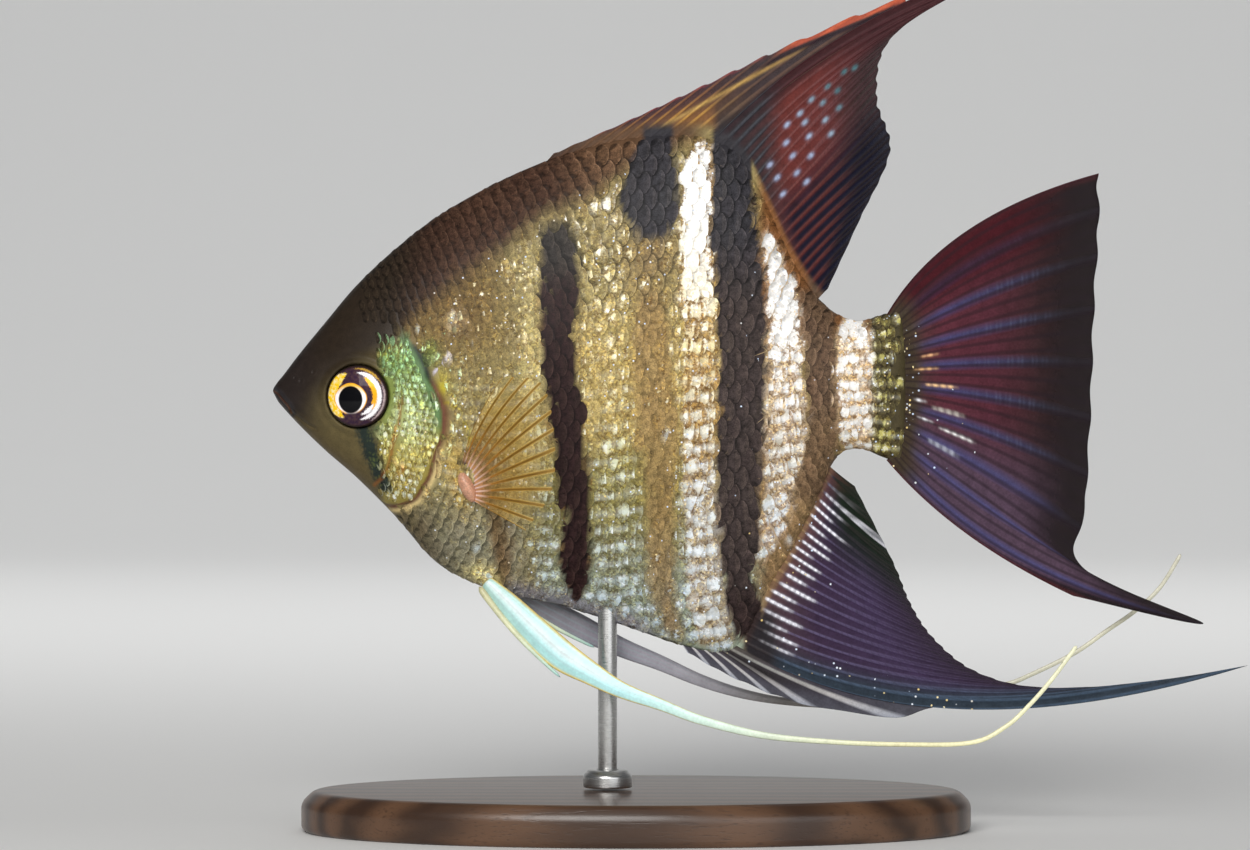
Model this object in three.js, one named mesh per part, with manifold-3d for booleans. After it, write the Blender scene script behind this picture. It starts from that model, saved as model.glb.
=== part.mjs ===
// A life-size model of a freshwater angelfish, swimming level, on a small display stand.
// Millimetres, +Z up. The fish faces -X and its left side faces -Y.
// It is built in the fish's own frame, where x runs from the snout tip to the tail, z is the height
// over the body's axis and y is zero in the plane of symmetry. One outer group then moves the whole
// so that the origin lies under the stand, at the centre of its flat foot.
import * as THREE from "three";
import { mergeVertices } from "three/addons/utils/BufferGeometryUtils.js";
import Module from "manifold-3d";

const wasm = await Module();
wasm.setup();

// ---------------------------------------------------------------- driving dimensions
const GAP = 0.3; // clear space between neighbouring pieces
const AXIS_HEIGHT = 54.6; // the body's axis over the floor
const STAND_X = 44.5; // the stand's centre, measured from the snout tip

const EYE = { x: 10.45, z: -1.4, depth: 3.7, radius: 3.65, bulge: 2.6 };
const MEMBRANE = 0.28; // half the thickness of a fin between its rays
const RAY_RIDGE = 0.1; // how far a ray stands out of the membrane on each side
const ROOT_SWELL = 0.34; // how much thicker, on each side, a fin is at its root
const RAY_BEND = 0.45; // where a ray's bend lies, as a part of the ray's length
const SPINE = { tip: 0.26, root: 0.5 }; // the radii of a pelvic fin's spine

const BASE = { halfLength: 41, halfWidth: 23, height: 5.0, chamfer: 1.6, foot: 0.5 };
const ROD = { x: 41.0, radius: 1.2, depth: 7, play: 0.6 };
const COLLAR = { radius: 3.0, height: 2.2, lip: 0.7 };
const BELLY_AT_ROD = -28.6; // the belly's height where the rod enters it

const BODY_RINGS = 33;
const RING_SIDES = 20;
const SEARCH_STEP = 0.05; // how finely a place along the body is looked for, in stations
const STRAY_VOLUME = 1; // a smaller body left by a cut isn't a piece of the fish

// ---------------------------------------------------------------- the body's stations
// Each station is one upright section: its place, the height of the back and of the belly, the level
// where it is widest, half its width there, and how sharply it narrows to the back and belly edges.
const STATIONS = [
  { name: "snout tip", x: 0.0, back: 0.1, belly: -1.3, level: -0.7, half: 0.5, keel: 0.5 },
  { name: "lips", x: 1.0, back: 1.0, belly: -2.6, level: -0.9, half: 1.5, keel: 0.5 },
  { name: "mouth corner", x: 3.3, back: 4.0, belly: -5.1, level: -1.0, half: 2.9, keel: 0.5 },
  { name: "muzzle", x: 6.5, back: 7.9, belly: -8.2, level: -1.2, half: 4.2, keel: 0.52 },
  { name: "eye", x: 10.3, back: 12.4, belly: -11.5, level: -1.6, half: 5.4, keel: 0.55 },
  { name: "cheek", x: 15.0, back: 16.8, belly: -16.2, level: -2.5, half: 6.4, keel: 0.58 },
  { name: "gill cover", x: 20.5, back: 21.0, belly: -22.2, level: -3.6, half: 6.9, keel: 0.64 },
  { name: "shoulder", x: 27.8, back: 25.1, belly: -25.5, level: -4.2, half: 7.0, keel: 0.7 },
  { name: "first bar", x: 35.2, back: 28.2, belly: -27.1, level: -3.8, half: 6.7, keel: 0.74 },
  { name: "mid trunk", x: 43.0, back: 30.4, belly: -29.6, level: -2.8, half: 6.1, keel: 0.76 },
  { name: "vent", x: 50.0, back: 31.0, belly: -32.0, level: -1.8, half: 5.3, keel: 0.76 },
  { name: "highest back", x: 54.6, back: 30.2, belly: -32.9, level: -1.2, half: 4.7, keel: 0.74 },
  { name: "second bar", x: 57.6, back: 27.9, belly: -31.6, level: -0.9, half: 4.3, keel: 0.72 },
  { name: "rear trunk", x: 60.6, back: 22.2, belly: -25.4, level: -0.6, half: 3.9, keel: 0.69 },
  { name: "fins rising", x: 63.4, back: 16.0, belly: -20.6, level: -0.3, half: 3.6, keel: 0.64 },
  { name: "fins end", x: 66.4, back: 11.3, belly: -14.6, level: -0.1, half: 3.3, keel: 0.58 },
  { name: "stalk start", x: 69.0, back: 8.9, belly: -9.0, level: 0.0, half: 3.0, keel: 0.54 },
  { name: "tail stalk", x: 71.8, back: 8.0, belly: -7.9, level: 0.1, half: 2.6, keel: 0.52 },
  { name: "tail root", x: 74.6, back: 8.7, belly: -8.9, level: 0.1, half: 1.9, keel: 0.5 },
  { name: "tail root end", x: 77.6, back: 9.6, belly: -10.0, level: 0.1, half: 0.7, keel: 0.5 },
];

// ---------------------------------------------------------------- small helpers
const mix = (a, b, t) => a + (b - a) * t;
const degrees = (angle) => (angle * Math.PI) / 180;

// A smooth curve through rows of numbers: a uniform Catmull-Rom spline, the same for each column.
function smoothRow(rows, t) {
  const at = Math.min(Math.max(t, 0), rows.length - 1);
  const i = Math.min(Math.floor(at), rows.length - 2);
  const f = at - i;
  const row = (k) => rows[Math.min(Math.max(k, 0), rows.length - 1)];
  const [a, b, c, d] = [row(i - 1), row(i), row(i + 1), row(i + 2)];
  return b.map((_, k) => {
    const rise = (c[k] - a[k]) / 2;
    const fall = (d[k] - b[k]) / 2;
    return (
      b[k] * (2 * f ** 3 - 3 * f ** 2 + 1) +
      rise * (f ** 3 - 2 * f ** 2 + f) +
      c[k] * (3 * f ** 2 - 2 * f ** 3) +
      fall * (f ** 3 - f ** 2)
    );
  });
}

// A closed skin over rings of points that all have the same number of points, with flat fans as ends.
function skinRings(rings) {
  const sides = rings[0].length;
  const positions = [];
  rings.forEach((ring) => ring.forEach((p) => positions.push(...p)));
  const middle = (ring) => [0, 1, 2].map((k) => ring.reduce((sum, p) => sum + p[k], 0) / sides);
  positions.push(...middle(rings[0]), ...middle(rings.at(-1)));
  const first = rings.length * sides;
  const last = first + 1;
  const index = [];
  for (let i = 0; i < rings.length - 1; i++) {
    for (let j = 0; j < sides; j++) {
      const a = i * sides + j;
      const b = i * sides + ((j + 1) % sides);
      index.push(a, b, a + sides, b, b + sides, a + sides);
    }
  }
  const end = (rings.length - 1) * sides;
  for (let j = 0; j < sides; j++) {
    const next = (j + 1) % sides;
    index.push(first, next, j, last, end + j, end + next);
  }
  const geometry = new THREE.BufferGeometry();
  geometry.setAttribute("position", new THREE.Float32BufferAttribute(positions, 3));
  geometry.setIndex(index);
  return geometry;
}

// ---------------------------------------------------------------- booleans
function toSolid(geometry) {
  const plain = geometry.clone();
  ["normal", "uv"].forEach((name) => plain.deleteAttribute(name));
  const merged = mergeVertices(plain, 1e-4);
  const mesh = new wasm.Mesh({
    numProp: 3,
    vertProperties: new Float32Array(merged.attributes.position.array),
    triVerts: new Uint32Array(merged.index.array),
  });
  const solid = new wasm.Manifold(mesh);
  if (solid.volume() > 0) return solid;
  for (let i = 0; i < mesh.triVerts.length; i += 3) {
    [mesh.triVerts[i], mesh.triVerts[i + 1]] = [mesh.triVerts[i + 1], mesh.triVerts[i]];
  }
  return new wasm.Manifold(mesh);
}

// The solid's largest body, as a geometry: a cut can leave slivers, which aren't wanted.
function toGeometry(solid) {
  const bodies = solid.decompose().sort((a, b) => b.volume() - a.volume());
  const mesh = bodies[0].getMesh();
  const positions = new Float32Array(mesh.numVert * 3);
  for (let i = 0; i < mesh.numVert; i++) {
    positions.set(mesh.vertProperties.subarray(i * mesh.numProp, i * mesh.numProp + 3), i * 3);
  }
  const geometry = new THREE.BufferGeometry();
  geometry.setAttribute("position", new THREE.BufferAttribute(positions, 3));
  geometry.setIndex(new THREE.BufferAttribute(new Uint32Array(mesh.triVerts), 1));
  return geometry;
}

// ---------------------------------------------------------------- the body as one solid
const stationRows = STATIONS.map((s) => [s.x, s.back, s.belly, s.level, s.half, s.keel]);

// One section of the body, grown outwards all round by the given amount.
function bodySection(t, grow) {
  const [x, back, belly, level, half, keel] = smoothRow(stationRows, t);
  const ring = [];
  for (let j = 0; j < RING_SIDES; j++) {
    const angle = (2 * Math.PI * (j + 0.5)) / RING_SIDES;
    const rise = Math.sin(angle);
    const edge = rise > 0 ? back - level + grow : level - belly + grow;
    const width = (half + grow) * Math.abs(Math.cos(angle)) ** (2 * keel);
    ring.push([x, Math.sign(Math.cos(angle)) * width, level + rise * edge]);
  }
  return ring;
}

function bodySolid(grow) {
  const rings = [];
  for (let i = 0; i < BODY_RINGS; i++) {
    rings.push(bodySection((i / (BODY_RINGS - 1)) * (STATIONS.length - 1), grow));
  }
  rings[0].forEach((p) => (p[0] -= grow));
  rings.at(-1).forEach((p) => (p[0] += grow));
  return toSolid(skinRings(rings));
}

const body = bodySolid(0);
const bodyAndGap = bodySolid(GAP);

// Half the body's width at a place on its side.
function sideWidth(x, z) {
  let t = 0;
  while (t < STATIONS.length - 1 && smoothRow(stationRows, t)[0] < x) t += SEARCH_STEP;
  const [, back, belly, level, half, keel] = smoothRow(stationRows, t);
  const rise = z > level ? (z - level) / (back - level) : (level - z) / (level - belly);
  return half * Math.max(1 - rise * rise, 0) ** keel;
}

// ---------------------------------------------------------------- the cuts that part the body
const ACROSS = 12; // further out on each side than the fish is wide

// A thin wall that follows a line in the side view and runs right across the fish.
function wallAlong(line) {
  const curve = new THREE.SplineCurve(line.map(([x, z]) => new THREE.Vector2(x, z)));
  const points = curve.getPoints(14);
  const left = [];
  const right = [];
  points.forEach((p, i) => {
    const t = i / (points.length - 1);
    const along = curve.getTangent(t);
    left.push(new THREE.Vector2(p.x - (along.y * GAP) / 2, p.y + (along.x * GAP) / 2));
    right.push(new THREE.Vector2(p.x + (along.y * GAP) / 2, p.y - (along.x * GAP) / 2));
  });
  return prism([...left, ...right.reverse()], -ACROSS, ACROSS);
}

// A side-view outline, carried across the fish between two values of y.
function prism(outline, from, to) {
  const shape = new THREE.Shape(outline);
  const geometry = new THREE.ExtrudeGeometry(shape, { depth: to - from, bevelEnabled: false });
  geometry.rotateX(Math.PI / 2);
  geometry.translate(0, to, 0);
  return toSolid(geometry);
}

// The lines of the cuts, in the side view: down behind the gill covers, along the mouth and down
// behind the jaw, and across the tail stalk.
const GILL_LINE = [
  [21.6, 30.0],
  [21.2, 12.0],
  [21.5, -2.0],
  [20.6, -8.5],
  [17.8, -14.0],
  [14.2, -18.5],
  [10.0, -24.0],
];
const JAW_LINE = [
  [-1.5, -0.8],
  [0.7, -1.2],
  [2.3, -3.1],
  [4.6, -4.9],
  [6.4, -6.3],
  [6.9, -8.2],
  [6.4, -11.0],
];
const STALK_LINE = [
  [69.2, 14.0],
  [69.8, 0.0],
  [69.2, -14.0],
];

// A gill cover is the plate between the cheek's edge and the gill opening.
const COVER_OUTLINE = [
  [15.2, 2.6],
  [18.6, 3.2],
  [20.6, 0.6],
  [21.0, -3.0],
  [20.0, -8.0],
  [17.4, -12.4],
  [14.6, -14.6],
  [12.6, -14.2],
  [12.4, -9.0],
  [13.6, -3.0],
];
const COVER_DEPTH = 3.4; // where the plate's inner face lies, measured from the plane of symmetry

function coverSolid(side, shrink) {
  const curve = new THREE.SplineCurve(
    [...COVER_OUTLINE, COVER_OUTLINE[0]].map((p) => new THREE.Vector2(...p)),
  );
  const points = curve.getPoints(28).slice(0, -1);
  const middle = points.reduce((sum, p) => sum.add(p), new THREE.Vector2()).divideScalar(points.length);
  const outline = points.map((p) => {
    const out = p.clone().sub(middle);
    return middle.clone().add(out.setLength(out.length() - shrink));
  });
  const near = COVER_DEPTH + (shrink > 0 ? GAP : 0);
  return side < 0 ? prism(outline, -ACROSS, -near) : prism(outline, near, ACROSS);
}

const leftCover = body.intersect(coverSolid(-1, GAP));
const rightCover = body.intersect(coverSolid(1, GAP));
const covered = body.subtract(coverSolid(-1, 0)).subtract(coverSolid(1, 0));

// ---------------------------------------------------------------- eyes
function eyeGeometry(side, grow) {
  const geometry = new THREE.SphereGeometry(1, 13, 8);
  geometry.rotateX(Math.PI / 2);
  geometry.scale(EYE.radius + grow, EYE.bulge + grow, EYE.radius + grow);
  geometry.translate(EYE.x, side * EYE.depth, EYE.z);
  return geometry;
}

// ---------------------------------------------------------------- the body's pieces
// The bodies left by the cuts, told apart by where their middles lie along the fish.
function piecesOf(solid) {
  const middleX = (s) => (s.boundingBox().min[0] + s.boundingBox().max[0]) / 2;
  const pieces = solid.decompose().filter((s) => s.volume() > STRAY_VOLUME);
  return pieces.sort((a, b) => middleX(a) - middleX(b));
}

const rodLength = (z) => AXIS_HEIGHT + z - BASE.height;
const ROD_TOP = BELLY_AT_ROD + ROD.depth;

function rodGeometry(grow) {
  const length = rodLength(ROD_TOP) - ROD.play + grow;
  const rod = new THREE.CylinderGeometry(ROD.radius + grow, ROD.radius + grow, length, 14);
  rod.rotateX(Math.PI / 2);
  rod.translate(ROD.x, 0, ROD_TOP + grow - length / 2);
  return rod;
}

const sockets = toSolid(eyeGeometry(-1, GAP)).add(toSolid(eyeGeometry(1, GAP)));
const carved = covered
  .subtract(sockets)
  .subtract(wallAlong(GILL_LINE))
  .subtract(wallAlong(JAW_LINE))
  .subtract(wallAlong(STALK_LINE))
  .subtract(toSolid(rodGeometry(GAP)));
const [lowerJaw, head, trunk, tailStalk] = piecesOf(carved);

// ---------------------------------------------------------------- fins
// A fin is a sheet stretched over rays. Key rays give the root and tip of some of its rays, and the
// angle at which each leaves the body. The rays between them follow smoothly.
function rayAt(fin, number) {
  const keys = fin.keys;
  let i = 0;
  while (i < keys.length - 2 && number > keys[i + 1].ray) i++;
  const t = i + (number - keys[i].ray) / (keys[i + 1].ray - keys[i].ray);
  const row = smoothRow(keys.map((k) => [...k.root, ...k.tip, k.leaves]), t);
  return { root: [row[0], row[1]], tip: [row[2], row[3]], leaves: degrees(row[4]) };
}

// The place on the fin's middle sheet, v of the way along a ray that needn't be a whole number.
function sheetPoint(fin, number, v) {
  const { root, tip, leaves } = rayAt(fin, number);
  const length = Math.hypot(tip[0] - root[0], tip[1] - root[1]);
  const reach = length * RAY_BEND;
  const bend = [root[0] + reach * Math.cos(leaves), root[1] + reach * Math.sin(leaves)];
  const point = [0, 1].map((k) => mix(mix(root[k], bend[k], v), mix(bend[k], tip[k], v), v));
  return [point[0], fin.sideways(v, length, number), point[1]];
}

function finSolid(fin) {
  const first = fin.keys[0].ray;
  const columns = (fin.keys.at(-1).ray - first) * fin.perRay;
  const sheet = (side) => {
    const grid = [];
    for (let i = 0; i <= columns; i++) {
      const number = first + i / fin.perRay;
      const onRay = Math.cos(Math.PI * number) ** 2;
      for (let j = 0; j <= fin.steps; j++) {
        const v = j / fin.steps;
        const [x, y, z] = sheetPoint(fin, number, v);
        const half = MEMBRANE + RAY_RIDGE * onRay + ROOT_SWELL * (1 - v) ** 3;
        grid.push([x, y + side * half, z]);
      }
    }
    return grid;
  };
  const across = fin.steps + 1;
  const points = [...sheet(-1), ...sheet(1)];
  const back = points.length / 2;
  const index = [];
  // A quad is split along its shorter diagonal, so that a skewed one doesn't fold over.
  const apart = (a, b) => Math.hypot(...[0, 1, 2].map((k) => points[a][k] - points[b][k]));
  const quad = (a, b, c, d) => {
    if (apart(a, c) <= apart(b, d)) index.push(a, b, c, a, c, d);
    else index.push(b, c, d, b, d, a);
  };
  for (let i = 0; i < columns; i++) {
    for (let j = 0; j < fin.steps; j++) {
      const a = i * across + j;
      quad(a, a + across, a + across + 1, a + 1);
      quad(back + a, back + a + 1, back + a + across + 1, back + a + across);
    }
    const low = i * across;
    const high = low + fin.steps;
    quad(low, back + low, back + low + across, low + across);
    quad(high, high + across, back + high + across, back + high);
  }
  const rear = columns * across;
  for (let j = 0; j < fin.steps; j++) {
    quad(j, j + 1, back + j + 1, back + j);
    quad(rear + j, back + rear + j, back + rear + j + 1, rear + j + 1);
  }
  const geometry = new THREE.BufferGeometry();
  geometry.setAttribute("position", new THREE.Float32BufferAttribute(points.flat(), 3));
  geometry.setIndex(index);
  return toSolid(geometry);
}

// The dorsal fin is two sheets that overlap along the filament: twelve spines that lie back along the
// leading edge, and the soft rays behind them, of which the first runs out into the filament.
const DORSAL_SPINES = {
  keys: [
    { ray: 0, root: [31.8, 25.6], tip: [34.4, 28.4], leaves: 44 },
    { ray: 3, root: [37.4, 27.6], tip: [43.9, 32.6], leaves: 42 },
    { ray: 6, root: [42.8, 28.8], tip: [52.6, 36.7], leaves: 40 },
    { ray: 9, root: [48.0, 29.4], tip: [64.1, 42.2], leaves: 41 },
    { ray: 11, root: [51.4, 29.2], tip: [76.6, 47.4], leaves: 43 },
    { ray: 12, root: [53.6, 28.2], tip: [81.6, 47.6], leaves: 47 },
  ],
  perRay: 2,
  steps: 2,
  sideways: (v, length) => 0.012 * length * v * v,
};
const DORSAL_RAYS = {
  keys: [
    { ray: 12, root: [52.8, 28.8], tip: [112.4, 57.6], leaves: 48 },
    { ray: 13, root: [54.0, 28.2], tip: [93.0, 51.8], leaves: 50 },
    { ray: 15, root: [56.0, 26.6], tip: [81.7, 46.8], leaves: 51 },
    { ray: 18, root: [57.8, 23.8], tip: [75.3, 41.8], leaves: 53 },
    { ray: 22, root: [59.6, 19.8], tip: [74.1, 35.2], leaves: 48 },
    { ray: 26, root: [61.4, 15.6], tip: [75.7, 28.8], leaves: 48 },
    { ray: 30, root: [63.6, 11.4], tip: [71.9, 20.2], leaves: 54 },
    { ray: 33, root: [65.4, 8.6], tip: [68.0, 11.8], leaves: 60 },
  ],
  perRay: 2,
  steps: 4,
  sideways: (v, length) => 0.012 * length * v * v,
};

// The anal fin mirrors it under the belly, with six spines.
const ANAL_SPINES = {
  keys: [
    { ray: 0, root: [47.4, -29.6], tip: [50.8, -32.8], leaves: -24 },
    { ray: 2, root: [49.8, -30.4], tip: [56.6, -36.0], leaves: -28 },
    { ray: 4, root: [52.2, -30.8], tip: [65.1, -39.2], leaves: -30 },
    { ray: 5, root: [53.4, -30.8], tip: [76.4, -40.8], leaves: -31 },
    { ray: 6, root: [55.2, -29.8], tip: [84.4, -38.9], leaves: -34 },
  ],
  perRay: 2,
  steps: 2,
  sideways: (v, length) => 0.01 * length * v * v,
};
const ANAL_RAYS = {
  keys: [
    { ray: 6, root: [54.6, -30.5], tip: [119.6, -34.4], leaves: -34 },
    { ray: 7, root: [55.6, -30.0], tip: [103.0, -36.9], leaves: -35 },
    { ray: 9, root: [57.2, -28.2], tip: [89.0, -35.8], leaves: -36 },
    { ray: 12, root: [58.8, -25.2], tip: [80.8, -31.4], leaves: -37 },
    { ray: 16, root: [60.6, -21.6], tip: [76.4, -24.8], leaves: -38 },
    { ray: 20, root: [62.6, -17.6], tip: [74.6, -18.2], leaves: -39 },
    { ray: 24, root: [64.6, -13.0], tip: [73.0, -12.6], leaves: -40 },
    { ray: 28, root: [66.6, -8.4], tip: [69.8, -9.6], leaves: -42 },
  ],
  perRay: 2,
  steps: 3,
  sideways: (v, length) => 0.01 * length * v * v,
};

const dorsal = finSolid(DORSAL_SPINES).add(finSolid(DORSAL_RAYS));
const anal = finSolid(ANAL_SPINES).add(finSolid(ANAL_RAYS));

// The tail fin: a broad fan with a long upper corner and a filament at the lower one.
const TAIL = {
  keys: [
    { ray: 0, root: [75.2, 8.6], tip: [101.3, 26.0], leaves: 60 },
    { ray: 2, root: [76.4, 7.2], tip: [101.4, 20.2], leaves: 42 },
    { ray: 5, root: [76.6, 4.0], tip: [100.8, 9.4], leaves: 17 },
    { ray: 8, root: [76.6, 0.4], tip: [100.4, -2.6], leaves: -2 },
    { ray: 11, root: [76.6, -3.6], tip: [99.8, -14.6], leaves: -20 },
    { ray: 13, root: [76.6, -6.4], tip: [99.4, -22.4], leaves: -36 },
    { ray: 15, root: [76.0, -8.4], tip: [114.2, -29.3], leaves: -50 },
    { ray: 16, root: [75.2, -9.2], tip: [98.4, -26.0], leaves: -50 },
  ],
  perRay: 2,
  steps: 5,
  sideways: (v, length) => 0.03 * length * v * v,
};

// A paired fin behind the gill cover. It stands off the flank, and its root is a fleshy pad.
const PECTORAL = { rootX: 24.2, rootZ: -12.4, flare: 4.4, sunk: 0.4 };
const PAD = { long: 2.2, wide: 0.95, thick: 1.1, lean: -24, forward: 0.2 };
const pectoralFin = (side) => {
  const root = side * (sideWidth(PECTORAL.rootX, PECTORAL.rootZ) - PECTORAL.sunk);
  return {
    keys: [
      { ray: 0, root: [23.2, -10.6], tip: [28.4, 0.9], leaves: 80 },
      { ray: 2, root: [23.9, -11.1], tip: [33.0, 0.2], leaves: 60 },
      { ray: 4, root: [24.5, -12.0], tip: [34.6, -5.4], leaves: 36 },
      { ray: 6, root: [24.8, -13.0], tip: [34.4, -12.6], leaves: 6 },
      { ray: 8, root: [24.6, -14.0], tip: [31.2, -17.6], leaves: -28 },
    ],
    perRay: 2,
    steps: 3,
    sideways: (v) => root + side * PECTORAL.flare * Math.sin((v * Math.PI) / 2),
  };
};

function pectoralSolid(side) {
  const pad = new THREE.SphereGeometry(1, 9, 6);
  const flank = side * sideWidth(PECTORAL.rootX, PECTORAL.rootZ);
  pad.scale(PAD.wide, PAD.thick, PAD.long);
  pad.rotateY(degrees(PAD.lean));
  pad.translate(PECTORAL.rootX - PAD.forward, flank, PECTORAL.rootZ);
  return finSolid(pectoralFin(side)).add(toSolid(pad)).subtract(bodyAndGap);
}

// A pelvic fin: a narrow blade that runs out into a long feeler, with a spine along its front.
// Each stop gives the middle line and the blade's half width; y spreads the pair apart.
const LEFT_PELVIC = {
  stops: [
    [26.1, 2.2, -24.0, 0.9],
    [28.7, 2.7, -26.6, 1.5],
    [31.7, 3.3, -29.6, 1.85],
    [35.3, 4.0, -32.8, 1.95],
    [38.9, 4.7, -35.0, 1.5],
    [42.6, 5.3, -37.0, 1.05],
    [47.5, 5.9, -38.8, 0.75],
    [52.3, 6.4, -40.6, 0.6],
    [59.6, 6.8, -42.4, 0.45],
    [68.0, 7.1, -43.2, 0.33],
    [76.4, 7.3, -43.5, 0.3],
    [84.9, 7.3, -43.3, 0.3],
    [89.1, 7.2, -41.4, 0.29],
    [92.0, 7.1, -38.8, 0.28],
    [94.8, 7.0, -35.6, 0.28],
    [97.8, 6.8, -31.6, 0.27],
  ],
  spine: { root: [25.3, 2.4, -24.6], tip: [35.3, 4.1, -35.6] },
};
const RIGHT_PELVIC = {
  stops: [
    [28.2, 2.2, -24.6, 0.85],
    [32.6, 3.0, -27.1, 1.4],
    [37.6, 3.8, -29.8, 1.55],
    [42.5, 4.5, -32.3, 1.25],
    [47.4, 5.1, -34.3, 1.0],
    [52.4, 5.7, -36.5, 0.8],
    [57.3, 6.2, -38.1, 0.65],
    [62.3, 6.6, -39.1, 0.5],
    [68.6, 6.9, -39.7, 0.38],
    [74.8, 7.1, -39.7, 0.32],
    [82.4, 7.2, -38.9, 0.3],
    [90.2, 7.2, -37.2, 0.3],
    [93.8, 7.1, -35.8, 0.29],
    [99.0, 7.0, -33.2, 0.29],
    [103.0, 6.8, -30.4, 0.28],
    [106.3, 6.7, -28.1, 0.28],
    [109.5, 6.6, -25.1, 0.27],
    [112.1, 6.4, -20.9, 0.26],
  ],
  spine: { root: [27.6, 2.4, -25.0], tip: [39.4, 4.1, -32.4] },
};
const BLADE_THICKNESS = 0.42; // half of it, at the root
const FEELER_THICKNESS = 0.26; // half of it, at the far end
const BLADE_SIDES = 6;

function pelvicSolid(fin, side) {
  const steps = (fin.stops.length - 1) * 2;
  const rings = [];
  for (let i = 0; i <= steps; i++) {
    const t = (i / steps) * (fin.stops.length - 1);
    const [x, y, z, half] = smoothRow(fin.stops, t);
    const [nextX, , nextZ] = smoothRow(fin.stops, t + SEARCH_STEP);
    const [pastX, , pastZ] = smoothRow(fin.stops, t - SEARCH_STEP);
    const run = Math.hypot(nextX - pastX, nextZ - pastZ);
    const across = [-(nextZ - pastZ) / run, (nextX - pastX) / run];
    const thick = mix(BLADE_THICKNESS, FEELER_THICKNESS, Math.min((i / steps) * 2, 1));
    const ring = [];
    for (let j = 0; j < BLADE_SIDES; j++) {
      const angle = (2 * Math.PI * j) / BLADE_SIDES;
      const [c, s] = [Math.cos(angle) * half, Math.sin(angle) * thick];
      ring.push([x + across[0] * c, side * y + s, z + across[1] * c]);
    }
    rings.push(ring);
  }
  const root = new THREE.Vector3(fin.spine.root[0], side * fin.spine.root[1], fin.spine.root[2]);
  const tip = new THREE.Vector3(fin.spine.tip[0], side * fin.spine.tip[1], fin.spine.tip[2]);
  const spine = new THREE.CylinderGeometry(SPINE.tip, SPINE.root, root.distanceTo(tip), 8);
  spine.applyQuaternion(
    new THREE.Quaternion().setFromUnitVectors(
      new THREE.Vector3(0, 1, 0),
      tip.clone().sub(root).normalize(),
    ),
  );
  spine.translate(...root.clone().lerp(tip, 0.5));
  return toSolid(skinRings(rings)).add(toSolid(spine)).subtract(bodyAndGap);
}

// ---------------------------------------------------------------- the stand
function baseGeometry() {
  const profile = [
    [0, 0],
    [BASE.halfLength - BASE.foot, 0],
    [BASE.halfLength, BASE.foot],
    [BASE.halfLength, BASE.height - BASE.chamfer],
    [BASE.halfLength - BASE.chamfer * 0.35, BASE.height - BASE.chamfer * 0.35],
    [BASE.halfLength - BASE.chamfer, BASE.height],
    [0, BASE.height],
  ].map(([radius, height]) => new THREE.Vector2(radius, height));
  const plate = new THREE.LatheGeometry(profile, 36);
  plate.rotateX(Math.PI / 2);
  plate.scale(1, BASE.halfWidth / BASE.halfLength, 1);
  plate.translate(STAND_X, 0, -AXIS_HEIGHT);
  return plate;
}

function collarGeometry() {
  const inner = ROD.radius + GAP;
  const profile = [
    [inner, 0],
    [COLLAR.radius, 0],
    [COLLAR.radius, COLLAR.height - COLLAR.lip],
    [COLLAR.radius - COLLAR.lip, COLLAR.height],
    [inner, COLLAR.height],
    [inner, 0],
  ].map(([radius, height]) => new THREE.Vector2(radius, height));
  const collar = new THREE.LatheGeometry(profile, 16);
  collar.rotateX(Math.PI / 2);
  collar.translate(ROD.x, 0, GAP + BASE.height - AXIS_HEIGHT);
  return collar;
}

// ---------------------------------------------------------------- the scene graph
const part = new THREE.Group();
const fish = new THREE.Group();
fish.position.set(-STAND_X, 0, AXIS_HEIGHT);
part.add(fish);

const skin = new THREE.MeshStandardMaterial({ color: 0x9c8757, roughness: 0.42, metalness: 0.25 });
const redFin = new THREE.MeshStandardMaterial({ color: 0x4d2c31, roughness: 0.5, metalness: 0.0 });
const clearFin = new THREE.MeshStandardMaterial({ color: 0x9a8140, roughness: 0.5, metalness: 0.0 });
const paleFin = new THREE.MeshStandardMaterial({ color: 0xcfe6e6, roughness: 0.4, metalness: 0.1 });
const eyeMaterial = new THREE.MeshStandardMaterial({ color: 0x8a6a1c, roughness: 0.1, metalness: 0.4 });
const wood = new THREE.MeshStandardMaterial({ color: 0x3a2417, roughness: 0.35, metalness: 0.0 });
const steel = new THREE.MeshStandardMaterial({ color: 0xb9bbbd, roughness: 0.3, metalness: 1.0 });

function addPiece(name, geometry, material) {
  const mesh = new THREE.Mesh(geometry, material);
  mesh.name = name;
  fish.add(mesh);
}

addPiece("head", toGeometry(head), skin);
addPiece("lower_jaw", toGeometry(lowerJaw), skin);
addPiece("gill_cover_left", toGeometry(leftCover), skin);
addPiece("gill_cover_right", toGeometry(rightCover), skin);
addPiece("trunk", toGeometry(trunk), skin);
addPiece("tail_stalk", toGeometry(tailStalk), skin);
addPiece("eye_left", eyeGeometry(-1, 0), eyeMaterial);
addPiece("eye_right", eyeGeometry(1, 0), eyeMaterial);
addPiece("dorsal_fin", toGeometry(dorsal.subtract(bodyAndGap)), redFin);
addPiece("anal_fin", toGeometry(anal.subtract(bodyAndGap)), redFin);
addPiece("tail_fin", toGeometry(finSolid(TAIL).subtract(bodyAndGap)), redFin);
addPiece("pectoral_fin_left", toGeometry(pectoralSolid(-1)), clearFin);
addPiece("pectoral_fin_right", toGeometry(pectoralSolid(1)), clearFin);
addPiece("pelvic_fin_left", toGeometry(pelvicSolid(LEFT_PELVIC, -1)), paleFin);
addPiece("pelvic_fin_right", toGeometry(pelvicSolid(RIGHT_PELVIC, 1)), paleFin);
addPiece("stand_base", baseGeometry(), wood);
addPiece("stand_collar", collarGeometry(), steel);
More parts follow.
